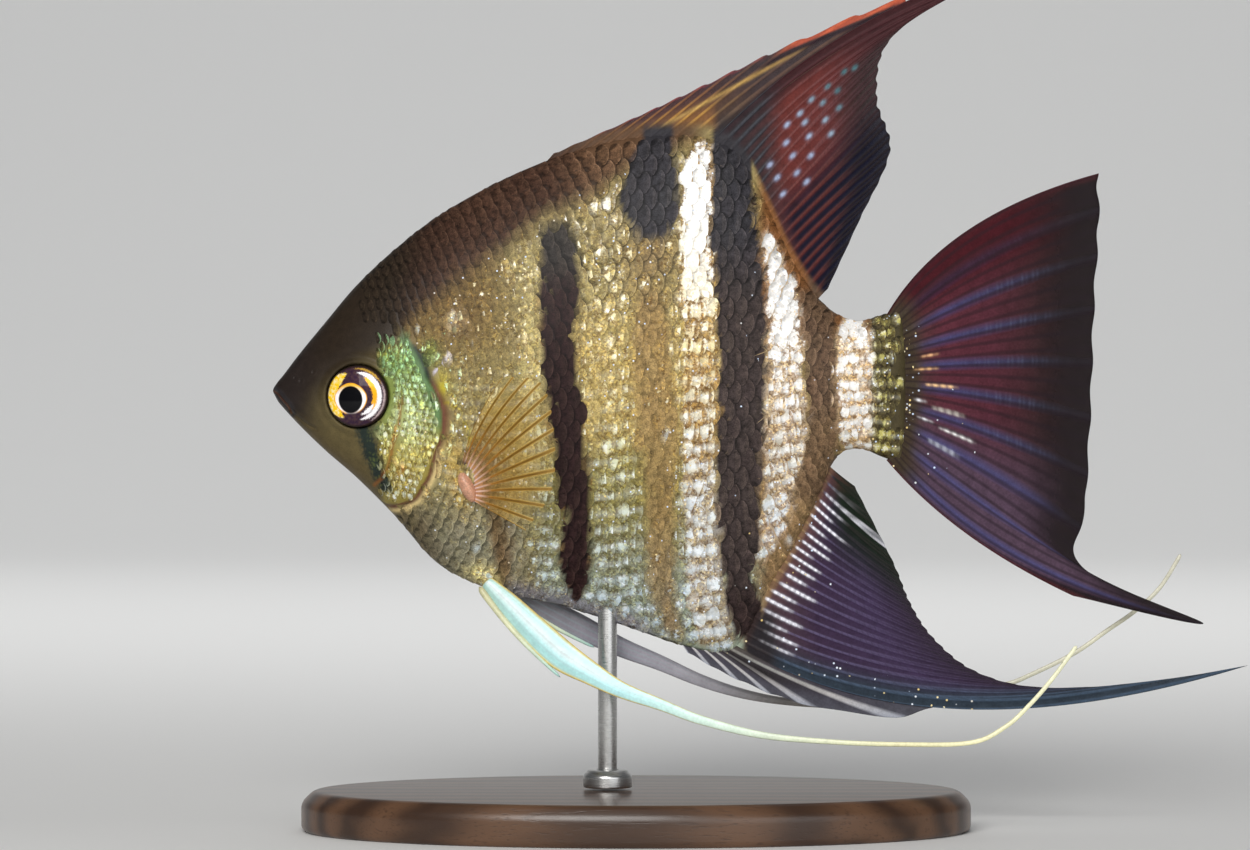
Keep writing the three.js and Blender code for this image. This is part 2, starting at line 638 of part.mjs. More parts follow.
addPiece("stand_rod", rodGeometry(0), steel);

export default part;
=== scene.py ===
# %% [markdown]
# # A freshwater angelfish on a small display stand
# The fish is a life-size model, 75 mm from snout to tail root, swimming level with its fins spread.
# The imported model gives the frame: where the fish is, how large it is and what the stand looks like.
# Everything made here sits in that frame, in metres.

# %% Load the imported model
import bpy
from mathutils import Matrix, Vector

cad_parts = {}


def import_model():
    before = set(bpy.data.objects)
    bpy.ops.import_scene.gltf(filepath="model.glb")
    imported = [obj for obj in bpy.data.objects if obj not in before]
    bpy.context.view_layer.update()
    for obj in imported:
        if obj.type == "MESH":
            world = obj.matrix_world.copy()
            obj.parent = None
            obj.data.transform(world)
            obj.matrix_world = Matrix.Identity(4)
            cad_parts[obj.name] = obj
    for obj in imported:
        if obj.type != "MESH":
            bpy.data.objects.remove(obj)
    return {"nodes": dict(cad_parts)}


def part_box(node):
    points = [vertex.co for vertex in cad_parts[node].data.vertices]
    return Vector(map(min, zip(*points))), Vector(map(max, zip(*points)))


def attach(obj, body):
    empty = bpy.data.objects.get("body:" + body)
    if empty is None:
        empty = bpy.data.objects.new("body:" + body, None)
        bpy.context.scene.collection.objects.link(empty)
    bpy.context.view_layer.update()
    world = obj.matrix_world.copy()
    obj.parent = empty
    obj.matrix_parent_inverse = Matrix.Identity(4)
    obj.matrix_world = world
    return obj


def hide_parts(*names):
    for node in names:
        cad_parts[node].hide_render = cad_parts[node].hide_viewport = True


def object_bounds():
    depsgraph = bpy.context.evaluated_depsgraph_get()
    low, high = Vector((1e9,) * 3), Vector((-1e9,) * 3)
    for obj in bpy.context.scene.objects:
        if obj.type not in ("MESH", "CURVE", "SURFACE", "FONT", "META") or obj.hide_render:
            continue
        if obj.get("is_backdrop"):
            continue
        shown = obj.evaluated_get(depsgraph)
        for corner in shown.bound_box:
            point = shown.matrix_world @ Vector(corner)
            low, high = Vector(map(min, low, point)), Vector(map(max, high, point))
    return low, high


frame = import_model()
print(f"{len(frame['nodes'])} CAD nodes")

# %% [markdown]
# ## Measures
# A fish is easiest to describe in its own side view: x runs back from the snout tip, z is the height
# over the body's axis and y is zero in the plane of symmetry, all in millimetres. Two places read from
# the frame tie that view to the model: the front of the head, and the height of the eye.

# %% Tools and the fish's own frame
import math

import bmesh
import bpy
import numpy as np
from mathutils import Vector

MM = 0.001
EYE_UNDER_AXIS = 1.4  # the model's eye lies this far under the body's axis

cad_low, cad_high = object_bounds()
snout_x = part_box("head")[0].x / MM
eye_low, eye_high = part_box("eye_left")
axis_z = (eye_low.z + eye_high.z) / 2 / MM + EYE_UNDER_AXIS
rng = np.random.default_rng(11)


def world(points):
    """Places in the fish's own millimetres, as places in the scene, in metres."""
    return (np.asarray(points, float) + (snout_x, 0.0, axis_z)) * MM


def new_object(name, data):
    """An object in the scene, at the origin."""
    made = bpy.data.objects.new(name, data)
    bpy.context.collection.objects.link(made)
    return made


print(f"snout at x {snout_x:.2f} mm, axis {axis_z:.2f} mm over the floor")

# %% [markdown]
# ## Camera
# The fish is seen square from its left side, from half a metre away and level with its middle, so both
# the back and the belly are seen edge on. A long lens keeps the proportions of the side view.

# %% Camera
CAMERA_AT = (43.14, -525.0, -4.90)
VIEW_WIDTH = 153.2  # what the frame takes in at the fish's middle, in millimetres

lens = bpy.data.cameras.new("studio_camera")
lens.sensor_width = 36.0
lens.lens = lens.sensor_width * -CAMERA_AT[1] / VIEW_WIDTH
camera = new_object("studio_camera", lens)
camera.location = world(CAMERA_AT)
camera.rotation_euler = (math.pi / 2, 0.0, 0.0)
bpy.context.scene.camera = camera
print(f"lens {lens.lens:.1f} mm")

# %% [markdown]
# ## Words for the node trees
# Every finish below is a node tree. A few short methods keep them readable: each makes one node, joins
# its inputs and returns the socket that carries the result.


# %% A node tree's words
class Tree:
    def __init__(self, nodes_of):
        self.tree = nodes_of

    def node(self, kind, **settings):
        made = self.tree.nodes.new(kind)
        for key, value in settings.items():
            setattr(made, key, value)
        return made

    def feed(self, socket, value):
        if isinstance(value, bpy.types.NodeSocket):
            self.tree.links.new(value, socket)
        elif value is not None:
            socket.default_value = value

    def math(self, operation, *values, clamp=False):
        made = self.node("ShaderNodeMath", operation=operation, use_clamp=clamp)
        for socket, value in zip(made.inputs, values):
            self.feed(socket, value)
        return made.outputs[0]

    def times(self, *values):
        return self.math("MULTIPLY", *values)

    def plus(self, *values):
        return self.math("ADD", *values)

    def minus(self, *values, clamp=False):
        return self.math("SUBTRACT", *values, clamp=clamp)

    def mix(self, factor, first, second, blend_type="MIX"):
        made = self.node("ShaderNodeMix", data_type="RGBA", blend_type=blend_type)
        for index, value in ((0, factor), (6, first), (7, second)):
            self.feed(made.inputs[index], value)
        return made.outputs[2]

    def remap(self, value, low, high, to_low=0.0, to_high=1.0):
        made = self.node("ShaderNodeMapRange", clamp=True)
        for socket, given in zip(made.inputs, (value, low, high, to_low, to_high)):
            self.feed(socket, given)
        return made.outputs[0]

    def attribute(self, name, output="Color"):
        return self.node("ShaderNodeAttribute", attribute_name=name).outputs[output]

    def uv(self, name):
        return self.node("ShaderNodeUVMap", uv_map=name).outputs[0]

    def place(self):
        return self.node("ShaderNodeTexCoord").outputs["Object"]

    def scaled(self, vector, scale):
        made = self.node("ShaderNodeMapping")
        self.feed(made.inputs["Vector"], vector)
        made.inputs["Scale"].default_value = scale
        return made.outputs[0]

    def noise(self, vector, scale, detail=2.0, output=0):
        made = self.node("ShaderNodeTexNoise")
        self.feed(made.inputs["Vector"], vector)
        self.feed(made.inputs["Scale"], scale)
        made.inputs["Detail"].default_value = detail
        return made.outputs[output]

    def shade(self, colour, factor):
        made = self.node("ShaderNodeVectorMath", operation="SCALE")
        self.feed(made.inputs[0], colour)
        self.feed(made.inputs["Scale"], factor)
        return made.outputs[0]

    def cells(self, vector, scale, **settings):
        made = self.node("ShaderNodeTexVoronoi", **settings)
        self.feed(made.inputs["Vector"], vector)
        self.feed(made.inputs["Scale"], scale)
        return made.outputs

    def parts(self, vector):
        made = self.node("ShaderNodeSeparateXYZ")
        self.feed(made.inputs[0], vector)
        return made.outputs

    def ramp(self, factor, stops):
        made = self.node("ShaderNodeValToRGB")
        self.feed(made.inputs[0], factor)
        while len(made.color_ramp.elements) < len(stops):
            made.color_ramp.elements.new(1.0)
        for element, (position, colour) in zip(made.color_ramp.elements, stops):
            element.position = position
            element.color = (*colour, 1.0)
        return made.outputs[0]

    def bump(self, height, strength, distance):
        made = self.node("ShaderNodeBump")
        self.feed(made.inputs["Height"], height)
        made.inputs["Strength"].default_value = strength
        made.inputs["Distance"].default_value = distance
        return made.outputs[0]

    def group(self, name, **values):
        made = self.node("ShaderNodeGroup", node_tree=bpy.data.node_groups[name])
        for key, value in values.items():
            self.feed(made.inputs[key.replace("_", " ")], value)
        return made.outputs

    def pattern(self, name, **values):
        return self.group(name, Vector=self.place(), **values)


# %% New groups and finishes
def new_group(name, inputs, outputs):
    """A node group with named inputs, given as (name, kind, default), and named outputs."""
    group = bpy.data.node_groups.new(name, "ShaderNodeTree")
    for label, kind, default in inputs:
        socket = group.interface.new_socket(label, in_out="INPUT", socket_type=f"NodeSocket{kind}")
        if default is not None:
            socket.default_value = default
    for label, kind in outputs:
        group.interface.new_socket(label, in_out="OUTPUT", socket_type=f"NodeSocket{kind}")
    tree = Tree(group)
    return tree, tree.node("NodeGroupInput").outputs, tree.node("NodeGroupOutput").inputs


def new_finish(name, **constants):
    """A material with one Principled shader, and numbers set on the shader's own sockets."""
    material = bpy.data.materials.new(name)
    material.use_nodes = True
    tree = Tree(material.node_tree)
    shader = material.node_tree.nodes["Principled BSDF"]
    for key, value in constants.items():
        shader.inputs[key.replace("_", " ")].default_value = value
    return material, tree, shader.inputs


# %% [markdown]
# ## Effects that several finishes share
# Living skin is never one flat colour. *Mottle* varies a colour softly and gives a fine height for
# bump. *Granules* strews brown and gold grains of pigment. *Overlap* finds, on the map of a scale,
# the crescent of painted shadow behind the scales in front, the rear rim that gets a painted highlight
# and the row along its middle. The glints group paints small bright glints: painted highlights on the
# scales and at the fins' roots, and a few specks on the anal fin. *Silver* lays ragged patches of
# bright foil, and *Grain* is a stretched, ringed noise for wood.

# %% Mottle
SCALE_REACH = 0.95  # a scale's rear edge behind its middle, where half its width is 1
NEXT_COLUMN = 1.70  # from one scale to the next behind it, measured the same way
NEXT_ROW = 1.395  # from one row of scales to the next
GRANULES_PER_METRE = 4300.0
PLATES_PER_METRE = 1750.0
PLATE_WARP = 0.0004
PAINTED = [("Vector", "Vector", None), ("Colour", "Color", None)]  # what most groups are given

tree, given, result = new_group(
    "Mottle",
    PAINTED + [("Amount", "Float", 0.2), ("Coarse", "Float", 900.0), ("Fine", "Float", 6000.0)],
    [("Colour", "Color"), ("Height", "Float")],
)
coarse, fine = (tree.noise(given["Vector"], given[scale], 3.0) for scale in ("Coarse", "Fine"))
both = tree.plus(coarse, fine)
swing = tree.times(tree.minus(both, 1.0), given["Amount"])
gain = tree.plus(tree.times(swing, 3.0), 1.0)
tree.feed(result["Colour"], tree.shade(given["Colour"], gain))
tree.feed(result["Height"], fine)

# %% Granules
tree, given, result = new_group(
    "Granules",
    PAINTED + [("Amount", "Float", 0.5)],
    [("Colour", "Color")],
)
chance = tree.parts(tree.cells(given["Vector"], GRANULES_PER_METRE)["Color"])
brown = tree.times(tree.remap(chance[0], 0.46, 0.20, 0.0, 0.75), given["Amount"])
gold = tree.times(tree.remap(chance[0], 0.68, 0.90, 0.0, 0.75), given["Amount"])
grained = tree.mix(brown, given["Colour"], (0.52, 0.38, 0.24, 1.0), "MULTIPLY")
tree.feed(result["Colour"], tree.mix(gold, grained, (1.85, 1.70, 1.15, 1.0), "MULTIPLY"))

# %% Overlap
tree, given, result = new_group(
    "Overlap",
    [("Map", "Vector", None)],
    [("Crescent", "Float"), ("RimHighlight", "Float"), ("Row", "Float")],
)
along, across, _ = tree.parts(given["Map"])
aside = tree.math("ABSOLUTE", across)


def round_edge(sideways):
    """How far back a scale's rear edge reaches at a distance from its middle line."""
    left = tree.minus(1.0, tree.times(sideways, sideways), clamp=True)
    return tree.times(tree.math("POWER", left, 0.5), SCALE_REACH)


own = round_edge(across)
ahead = tree.minus(own, NEXT_COLUMN)
beside = tree.minus(round_edge(tree.minus(aside, NEXT_ROW)), NEXT_COLUMN / 2)
covered = tree.math("MAXIMUM", ahead, beside)
tree.feed(result["Crescent"], tree.remap(tree.minus(along, covered), 0.36, 0.08))
# The rear rim that gets a painted highlight.
tree.feed(result["RimHighlight"], tree.remap(tree.minus(own, along), 0.15, 0.04))
tree.feed(result["Row"], tree.remap(aside, 0.36, 0.10))

# %% Glints and specks
tree, given, result = new_group(
    "GlintsAndSpecks",
    PAINTED + [("Amount", "Float", 0.3), ("Size", "Float", 2600.0)],
    [("Colour", "Color"), ("GlintMask", "Float")],
)
plates = tree.cells(given["Vector"], given["Size"])
chance = tree.parts(plates["Color"])
chosen = tree.math("LESS_THAN", chance[0], given["Amount"])
middle = tree.remap(plates["Distance"], 0.42, 0.22)
glint_mask = tree.times(chosen, middle)
tint = tree.ramp(chance[1], [(0.0, (0.95, 0.86, 0.58)), (0.25, (0.85, 0.62, 0.22)),
                             (0.45, (0.62, 0.75, 0.98)), (1.0, (0.90, 0.94, 1.0))])
tree.feed(result["Colour"], tree.mix(glint_mask, given["Colour"], tint))
tree.feed(result["GlintMask"], glint_mask)

# %% Silver
tree, given, result = new_group(
    "Silver",
    PAINTED + [("Amount", "Float", 0.3), ("Sheen", "Color", None)],
    [("Colour", "Color"), ("Mask", "Float")],
)
broad = tree.noise(given["Vector"], 1000.0, 3.0)
small = tree.noise(given["Vector"], 3400.0, 2.0)
shifted = tree.node("ShaderNodeVectorMath", operation="MULTIPLY_ADD")
tree.feed(shifted.inputs[0], tree.noise(given["Vector"], 1500.0, output="Color"))
shifted.inputs[1].default_value = (PLATE_WARP, PLATE_WARP, PLATE_WARP)
tree.feed(shifted.inputs[2], given["Vector"])
plates = tree.cells(shifted.outputs[0], PLATES_PER_METRE)
gaps = tree.cells(shifted.outputs[0], PLATES_PER_METRE, feature="DISTANCE_TO_EDGE")
chance = tree.parts(plates["Color"])
level = tree.plus(given["Amount"], tree.times(tree.minus(broad, 0.5), 0.7))
level = tree.plus(level, tree.times(tree.minus(small, 0.5), 0.42))
level = tree.plus(level, tree.times(tree.minus(chance[0], 0.5), 0.30))
level = tree.minus(level, tree.remap(gaps["Distance"], 0.10, 0.0, 0.0, 0.17))
mask = tree.times(tree.remap(level, 0.44, 0.66), tree.remap(given["Amount"], 0.3, 0.8, 0.72, 1.0))
tone = tree.plus(tree.times(small, 0.5), tree.times(chance[1], 0.5))
bright = tree.shade(given["Sheen"], tree.remap(tone, 0.22, 0.60, 0.62, 1.0))
white = tree.remap(tone, 0.58, 0.76, 0.0, 0.6)
sheen = tree.mix(white, bright, (0.96, 0.97, 1.0, 1.0))
tree.feed(result["Colour"], tree.mix(mask, given["Colour"], sheen))
tree.feed(result["Mask"], mask)

# %% Grain
tree, given, result = new_group(
    "Grain",
    [("Vector", "Vector", None), ("Dark", "Color", None), ("Light", "Color", None)],
    [("Colour", "Color"), ("Height", "Float")],
)
along = tree.scaled(given["Vector"], (14.0, 160.0, 160.0))
rings = tree.node("ShaderNodeTexWave", bands_direction="Y")
tree.feed(rings.inputs["Vector"], along)
for key, value in (("Scale", 0.42), ("Distortion", 7.0), ("Detail", 3.0), ("Detail Scale", 1.4)):
    rings.inputs[key].default_value = value
pores = tree.noise(tree.scaled(given["Vector"], (220.0, 3800.0, 3800.0)), 1.0, 3.0)
dark_lines = tree.remap(pores, 0.56, 0.70)
body = tree.mix(rings.outputs["Fac"], given["Dark"], given["Light"])
tree.feed(result["Colour"], tree.mix(tree.times(dark_lines, 0.6), body, given["Dark"]))
tree.feed(result["Height"], tree.minus(1.0, dark_lines))
print("node groups:", ", ".join(group.name for group in bpy.data.node_groups))

# %% [markdown]
# ## The body's form
# An angelfish is a tall disc: its back and belly are edges, and it is widest along a line a little under
# its middle. Each station below is one upright section of it. A smooth curve runs through the stations,
# so any section between them can be worked out. The skin lies a little under the model's surface,
# because the scales stand over it.

# %% Stations and sections
SKIN_DEPTH = 0.12
SNOUT_ROUND = 0.8
TAIL_ROUND = 0.9
STATIONS = [  # x, back, belly, the level where it is widest, half its width there, edge sharpness
    (0.0, 0.1, -1.3, -0.7, 0.5, 0.5),
    (1.0, 1.0, -2.6, -0.9, 1.5, 0.5),
    (3.3, 4.0, -5.1, -1.0, 2.9, 0.5),
    (6.5, 7.9, -8.2, -1.2, 4.2, 0.52),
    (10.3, 12.4, -11.5, -1.6, 5.4, 0.55),
    (15.0, 16.8, -16.2, -2.5, 6.4, 0.58),
    (20.5, 21.0, -22.2, -3.6, 6.9, 0.64),
    (27.8, 25.1, -25.5, -4.2, 7.0, 0.7),
    (35.2, 28.2, -27.1, -3.8, 6.7, 0.74),
    (43.0, 30.4, -29.6, -2.8, 6.1, 0.76),
    (50.0, 31.0, -32.0, -1.8, 5.3, 0.76),
    (54.6, 30.2, -32.9, -1.2, 4.7, 0.74),
    (57.6, 27.9, -31.6, -0.9, 4.3, 0.72),
    (60.6, 22.2, -25.4, -0.6, 3.9, 0.69),
    (63.4, 16.0, -20.6, -0.3, 3.6, 0.64),
    (66.4, 11.3, -14.6, -0.1, 3.3, 0.58),
    (69.0, 8.9, -9.0, 0.0, 3.0, 0.54),
    (71.8, 8.0, -7.9, 0.1, 2.6, 0.52),
    (74.6, 8.7, -8.9, 0.1, 1.9, 0.5),
    (77.6, 9.6, -10.0, 0.1, 0.7, 0.5),
]
TAIL_X = STATIONS[-1][0]


# %% Smooth curves, bells and steps
def smooth_rows(rows, t):
    """A smooth curve through rows of numbers, at places t counted in rows."""
    rows = np.asarray(rows, float)
    t = np.clip(np.asarray(t, float), 0, len(rows) - 1)
    i = np.minimum(t.astype(int), len(rows) - 2)
    f = (t - i)[..., None]
    a, b, c, d = (rows[np.clip(i + k, 0, len(rows) - 1)] for k in (-1, 0, 1, 2))
    ease = 3 * f**2 - 2 * f**3
    return b * (1 - ease) + c * ease + (c - a) / 2 * (f**3 - 2 * f**2 + f) + (d - b) / 2 * (f**3 - f**2)


def bell(distance, width):
    """1 at no distance, falling off smoothly over the width."""
    return np.exp(-((distance / width) ** 2))


def step(value, low, high):
    """0 before low and 1 past high, smooth between them. Low may be the larger."""
    f = np.clip((value - low) / (high - low), 0, 1)
    return f * f * (3 - 2 * f)


fine_rows = smooth_rows(STATIONS, np.linspace(0, len(STATIONS) - 1, 2400))


# %% Sections
def profile(x):
    """Back, belly, level, half width and edge sharpness at a distance from the snout."""
    return [np.interp(x, fine_rows[:, 0], fine_rows[:, k]) for k in range(1, 6)]


def section(x, angle):
    """Half the skin's width, and the height, at an angle from the widest line of a section."""
    back, belly, level, half, keel = profile(x)
    rise = np.sin(angle)
    edge = np.where(rise > 0, back - level, level - belly) - SKIN_DEPTH
    front = np.sqrt(1 - (1 - np.clip(x / SNOUT_ROUND, 0, 1)) ** 2)
    rear = np.sqrt(1 - np.clip((x - TAIL_X + TAIL_ROUND) / TAIL_ROUND, 0, 1) ** 2)
    width = (half - SKIN_DEPTH) * np.abs(np.cos(angle)) ** (2 * keel)
    return width * front * rear, level + rise * edge * front * rear


print(f"{len(STATIONS)} stations, body {TAIL_X} mm long")

# %% [markdown]
# ## Lines on the head
# What makes a head is mostly relief: the rim round the eye, the mouth's slit between its lips, the
# folds of the cheek, and the gill cover, a plate that stands over the shoulder behind it. Each follows
# a line in the side view, so the relief is worked out from the distance to that line.

# %% Relief
EYE_AT = (10.72, -1.42)
EYE_RADIUS = 3.72
SOCKET_DEPTH = 1.7
GILL_EDGE = [(17.1, 5.4), (18.1, 3.9), (18.9, 2.3), (19.45, 0.73), (20.23, -0.81), (21.0, -2.98),
             (21.08, -5.13), (20.85, -6.53), (20.23, -8.08), (19.77, -9.61), (19.31, -11.17), (18.53, -12.4),
             (17.76, -13.64), (16.52, -14.33), (14.67, -14.72), (12.9, -13.9)]
EYE_STREAK = [(11.3, -5.0), (12.0, -7.4), (12.9, -9.8), (13.9, -12.2)]
YELLOW_LINE = [(20.9, -2.0), (22.9, -2.9), (24.3, -5.4), (24.6, -6.2)]
VIOLET_LINE = [(20.0, 1.4), (21.0, 2.6), (21.9, 3.6)]
CHEEK_FOLD = [(16.1, 1.6), (16.0, -1.0), (15.9, -3.28), (15.6, -5.75), (14.98, -7.3), (14.7, -8.9),
              (14.0, -10.8), (12.6, -12.2)]
MOUTH_SLIT = [(-0.4, -0.55), (0.5, -0.95), (1.25, -1.75), (2.0, -2.6), (2.35, -3.4)]
JAW_FOLD = [(2.35, -3.3), (3.2, -3.9), (4.2, -4.7), (5.3, -5.3)]
BROW = [(5.6, 2.6), (8.0, 3.9), (11.0, 4.4), (14.0, 3.9)]
NOSTRILS = [(5.2, 1.6), (2.9, 0.85), (3.6, 0.5)]


# %% Raised and sunk places
def from_line(x, z, line):
    """The distance to a line in the side view, and its side: above zero is behind a line drawn down."""
    line = smooth_rows(line, np.linspace(0, len(line) - 1, 4 * len(line) - 3))
    a, run = line[:-1], np.diff(line, axis=0)
    out = np.stack([x, z], -1)[..., None, :] - a
    f = np.clip((out * run).sum(-1) / (run**2).sum(-1), 0, 1)
    out = out - f[..., None] * run
    distance = np.hypot(out[..., 0], out[..., 1])
    nearest = distance.argmin(-1)[..., None]
    side = run[:, 0] * out[..., 1] - run[:, 1] * out[..., 0]
    pick = lambda values: np.take_along_axis(values, nearest, -1)[..., 0]
    return pick(distance), np.sign(pick(side))


def relief(x, z):
    """How far the skin stands out from the plain body, in millimetres."""
    height = np.zeros(np.shape(x))
    front = x < 26
    hx, hz = x[front], z[front]
    eye = np.hypot(hx - EYE_AT[0], hz - EYE_AT[1])
    out = 0.17 * bell(eye - 4.22, 0.3) - 0.07 * bell(eye - 4.95, 0.35)
    slit, _ = from_line(hx, hz, MOUTH_SLIT)
    out += 0.13 * bell(slit - 0.42, 0.24) - 0.30 * bell(slit, 0.12)
    fold, _ = from_line(hx, hz, JAW_FOLD)
    out += 0.07 * bell(fold - 0.4, 0.3) - 0.14 * bell(fold, 0.16)
    fold, side = from_line(hx, hz, CHEEK_FOLD)
    out += np.where(side < 0, 0.12 * np.exp(-fold / 1.2), 0.0) - 0.10 * bell(fold, 0.22)
    brow, _ = from_line(hx, hz, BROW)
    out += 0.12 * bell(brow, 1.1)
    edge, side = from_line(hx, hz, GILL_EDGE)
    plate = np.where(side < 0, 0.34 * np.exp(-edge / 2.6), 0.12 * bell(edge - 1.0, 0.4))
    plate -= 0.24 * bell(edge - 0.12, 0.22)
    out += plate * step(hz, 2.6, -0.4) * step(hx, 12.9, 15.2)
    for nx, nz in NOSTRILS:
        pit = np.hypot(hx - nx, hz - nz)
        out += 0.05 * bell(pit - 0.3, 0.1) - 0.16 * bell(pit, 0.16)
    out -= SOCKET_DEPTH * step(eye, EYE_RADIUS + 0.26, EYE_RADIUS - 0.04)
    height[front] = out
    return height


print(f"an eye's socket is {-relief(*np.array(EYE_AT)[:, None])[0]:.2f} mm deep")

# %% [markdown]
# ## A map of the flank
# Scales and skin both need to know where a place on the flank lies in space. The map below measures
# distance along the surface: x along the fish, and g over the surface from the widest line, up to the
# back and down to the belly. On such a map scales keep their size wherever they lie.

# %% The flank's map
MAP_X = np.linspace(0.0, TAIL_X, 777)
MAP_ANGLE = np.linspace(-math.pi / 2, math.pi / 2, 361)
MAP_G = np.linspace(-42.0, 42.0, 841)

widths, heights = section(MAP_X[:, None], MAP_ANGLE[None, :])
steps = np.hypot(np.diff(widths, axis=1), np.diff(heights, axis=1))
girth = np.concatenate([np.zeros((len(MAP_X), 1)), np.cumsum(steps, axis=1)], axis=1)
girth -= girth[:, [len(MAP_ANGLE) // 2]]
girth_low, girth_high = girth[:, 0], girth[:, -1]
angle_map = np.array([np.interp(MAP_G, row, MAP_ANGLE) for row in girth])


def angle_at(x, g):
    """The angle in the section that a place on the flank's map stands for."""
    i = np.clip((x - MAP_X[0]) / (MAP_X[1] - MAP_X[0]), 0, len(MAP_X) - 1.001)
    j = np.clip((g - MAP_G[0]) / (MAP_G[1] - MAP_G[0]), 0, len(MAP_G) - 1.001)
    a, b = i.astype(int), j.astype(int)
    f, h = i - a, j - b
    low = angle_map[a, b] * (1 - f) + angle_map[a + 1, b] * f
    high = angle_map[a, b + 1] * (1 - f) + angle_map[a + 1, b + 1] * f
    return low * (1 - h) + high * h


def skin_point(x, angle, side):
    """A place on the skin, relief and all. Side is -1 for the left flank and +1 for the right."""
    width, z = section(x, angle)
    width = np.maximum(width + relief(x, z) * step(width, 0.0, 1.4), 0.0)
    return np.stack([x, side * width, z], -1)


def flank(x, g, side):
    """A place on the flank's map, in space, and the direction straight out of the skin there."""
    reach = 0.12
    here = skin_point(x, angle_at(x, g), side)
    on = skin_point(x + reach, angle_at(x + reach, g), side) - here
    up = skin_point(x, angle_at(x, g + reach), side) - here
    down = here - skin_point(x, angle_at(x, g - reach), side)
    out = np.cross(on, up + down) * side * -1
    out /= np.maximum(np.linalg.norm(out, axis=-1, keepdims=True), 1e-9)
    return here, out


print(f"girth map {angle_map.shape}, longest side {np.ptp(girth, axis=1).max():.1f} mm")

# %% [markdown]
# ## Markings
# The flank is gold to silver with dark upright bars. One function gives the colour at any place in the
# side view, and both the skin and the scales ask it, so the markings run through. It starts from the
# ground colour and lays softer or sharper patches over it. Besides a colour, each tint says how much
# the place shines like foil, and how many painted glints, small painted highlights, it gets.

# %% Tints: red, green, blue, foil, painted glints
TINTS = {
    "forehead": (0.025, 0.017, 0.011, 0.00, 0.00),
    "snout": (0.022, 0.016, 0.014, 0.00, 0.00),
    "cheek": (0.110, 0.085, 0.036, 0.05, 0.02),
    "jaw": (0.105, 0.078, 0.033, 0.05, 0.02),
    "nape": (0.034, 0.018, 0.012, 0.00, 0.01),
    "back": (0.055, 0.027, 0.017, 0.00, 0.00),
    "rear back": (0.112, 0.060, 0.032, 0.04, 0.05),
    "shoulder": (0.165, 0.106, 0.036, 0.42, 0.12),
    "front flank": (0.285, 0.232, 0.098, 0.55, 0.12),
    "breast": (0.235, 0.220, 0.150, 0.24, 0.08),
    "belly front": (0.980, 0.860, 0.400, 0.60, 0.10),
    "lilac": (0.250, 0.235, 0.290, 0.30, 0.10),
    "smudge": (0.130, 0.075, 0.032, 0.08, 0.04),
    "pad gold": (0.560, 0.370, 0.090, 0.58, 0.30),
    "umber": (0.200, 0.130, 0.062, 0.22, 0.10),
    "throat": (0.125, 0.098, 0.054, 0.05, 0.03),
    "high flank": (0.310, 0.248, 0.104, 0.60, 0.12),
    "flank": (0.450, 0.345, 0.130, 0.62, 0.16),
    "low flank": (0.255, 0.228, 0.082, 0.57, 0.12),
    "belly": (0.270, 0.310, 0.240, 0.64, 0.12),
    "silver": (0.390, 0.250, 0.100, 0.97, 0.20),
    "silver low": (0.480, 0.410, 0.320, 0.99, 0.20),
    "bright": (0.560, 0.430, 0.300, 0.99, 0.20),
    "faint bar": (0.245, 0.150, 0.062, 0.18, 0.12),
    "brown edge": (0.200, 0.085, 0.030, 0.00, 0.04),
    "brown band": (0.108, 0.065, 0.039, 0.00, 0.02),
    "stalk": (0.600, 0.430, 0.260, 0.98, 0.30),
    "ochre": (0.250, 0.160, 0.075, 0.14, 0.10),
    "rust": (0.400, 0.170, 0.030, 0.00, 0.00),
    "tail bar": (0.068, 0.054, 0.026, 0.56, 0.28),
    "bar": (0.022, 0.010, 0.010, 0.00, 0.00),
    "bar high": (0.034, 0.029, 0.026, 0.00, 0.02),
    "rear bar": (0.043, 0.031, 0.029, 0.00, 0.03),
    "blotch": (0.033, 0.031, 0.036, 0.00, 0.00),
    "green": (0.170, 0.215, 0.045, 0.62, 0.10),
    "strip": (0.540, 0.450, 0.200, 0.62, 0.20),
    "granules": (0.480, 0.400, 0.030, 0.50, 0.40),
    "violet": (0.560, 0.520, 0.640, 0.00, 0.00),
    "gold": (0.370, 0.245, 0.060, 0.50, 0.30),
    "yellow": (0.440, 0.500, 0.220, 0.78, 0.20),
    "turquoise": (0.080, 0.190, 0.090, 0.60, 0.10),
    "cover low": (0.310, 0.250, 0.060, 0.56, 0.10),
    "eye blotch": (0.020, 0.029, 0.024, 0.00, 0.06),
    "gill": (0.150, 0.060, 0.036, 0.00, 0.00),
    "gill rim": (0.620, 0.480, 0.220, 0.10, 0.05),
    "lip": (0.022, 0.020, 0.023, 0.00, 0.00),
    "amber": (0.260, 0.090, 0.020, 0.00, 0.00),
}
TINTS = {name: np.array(values) for name, values in TINTS.items()}
print(f"{len(TINTS)} tints")

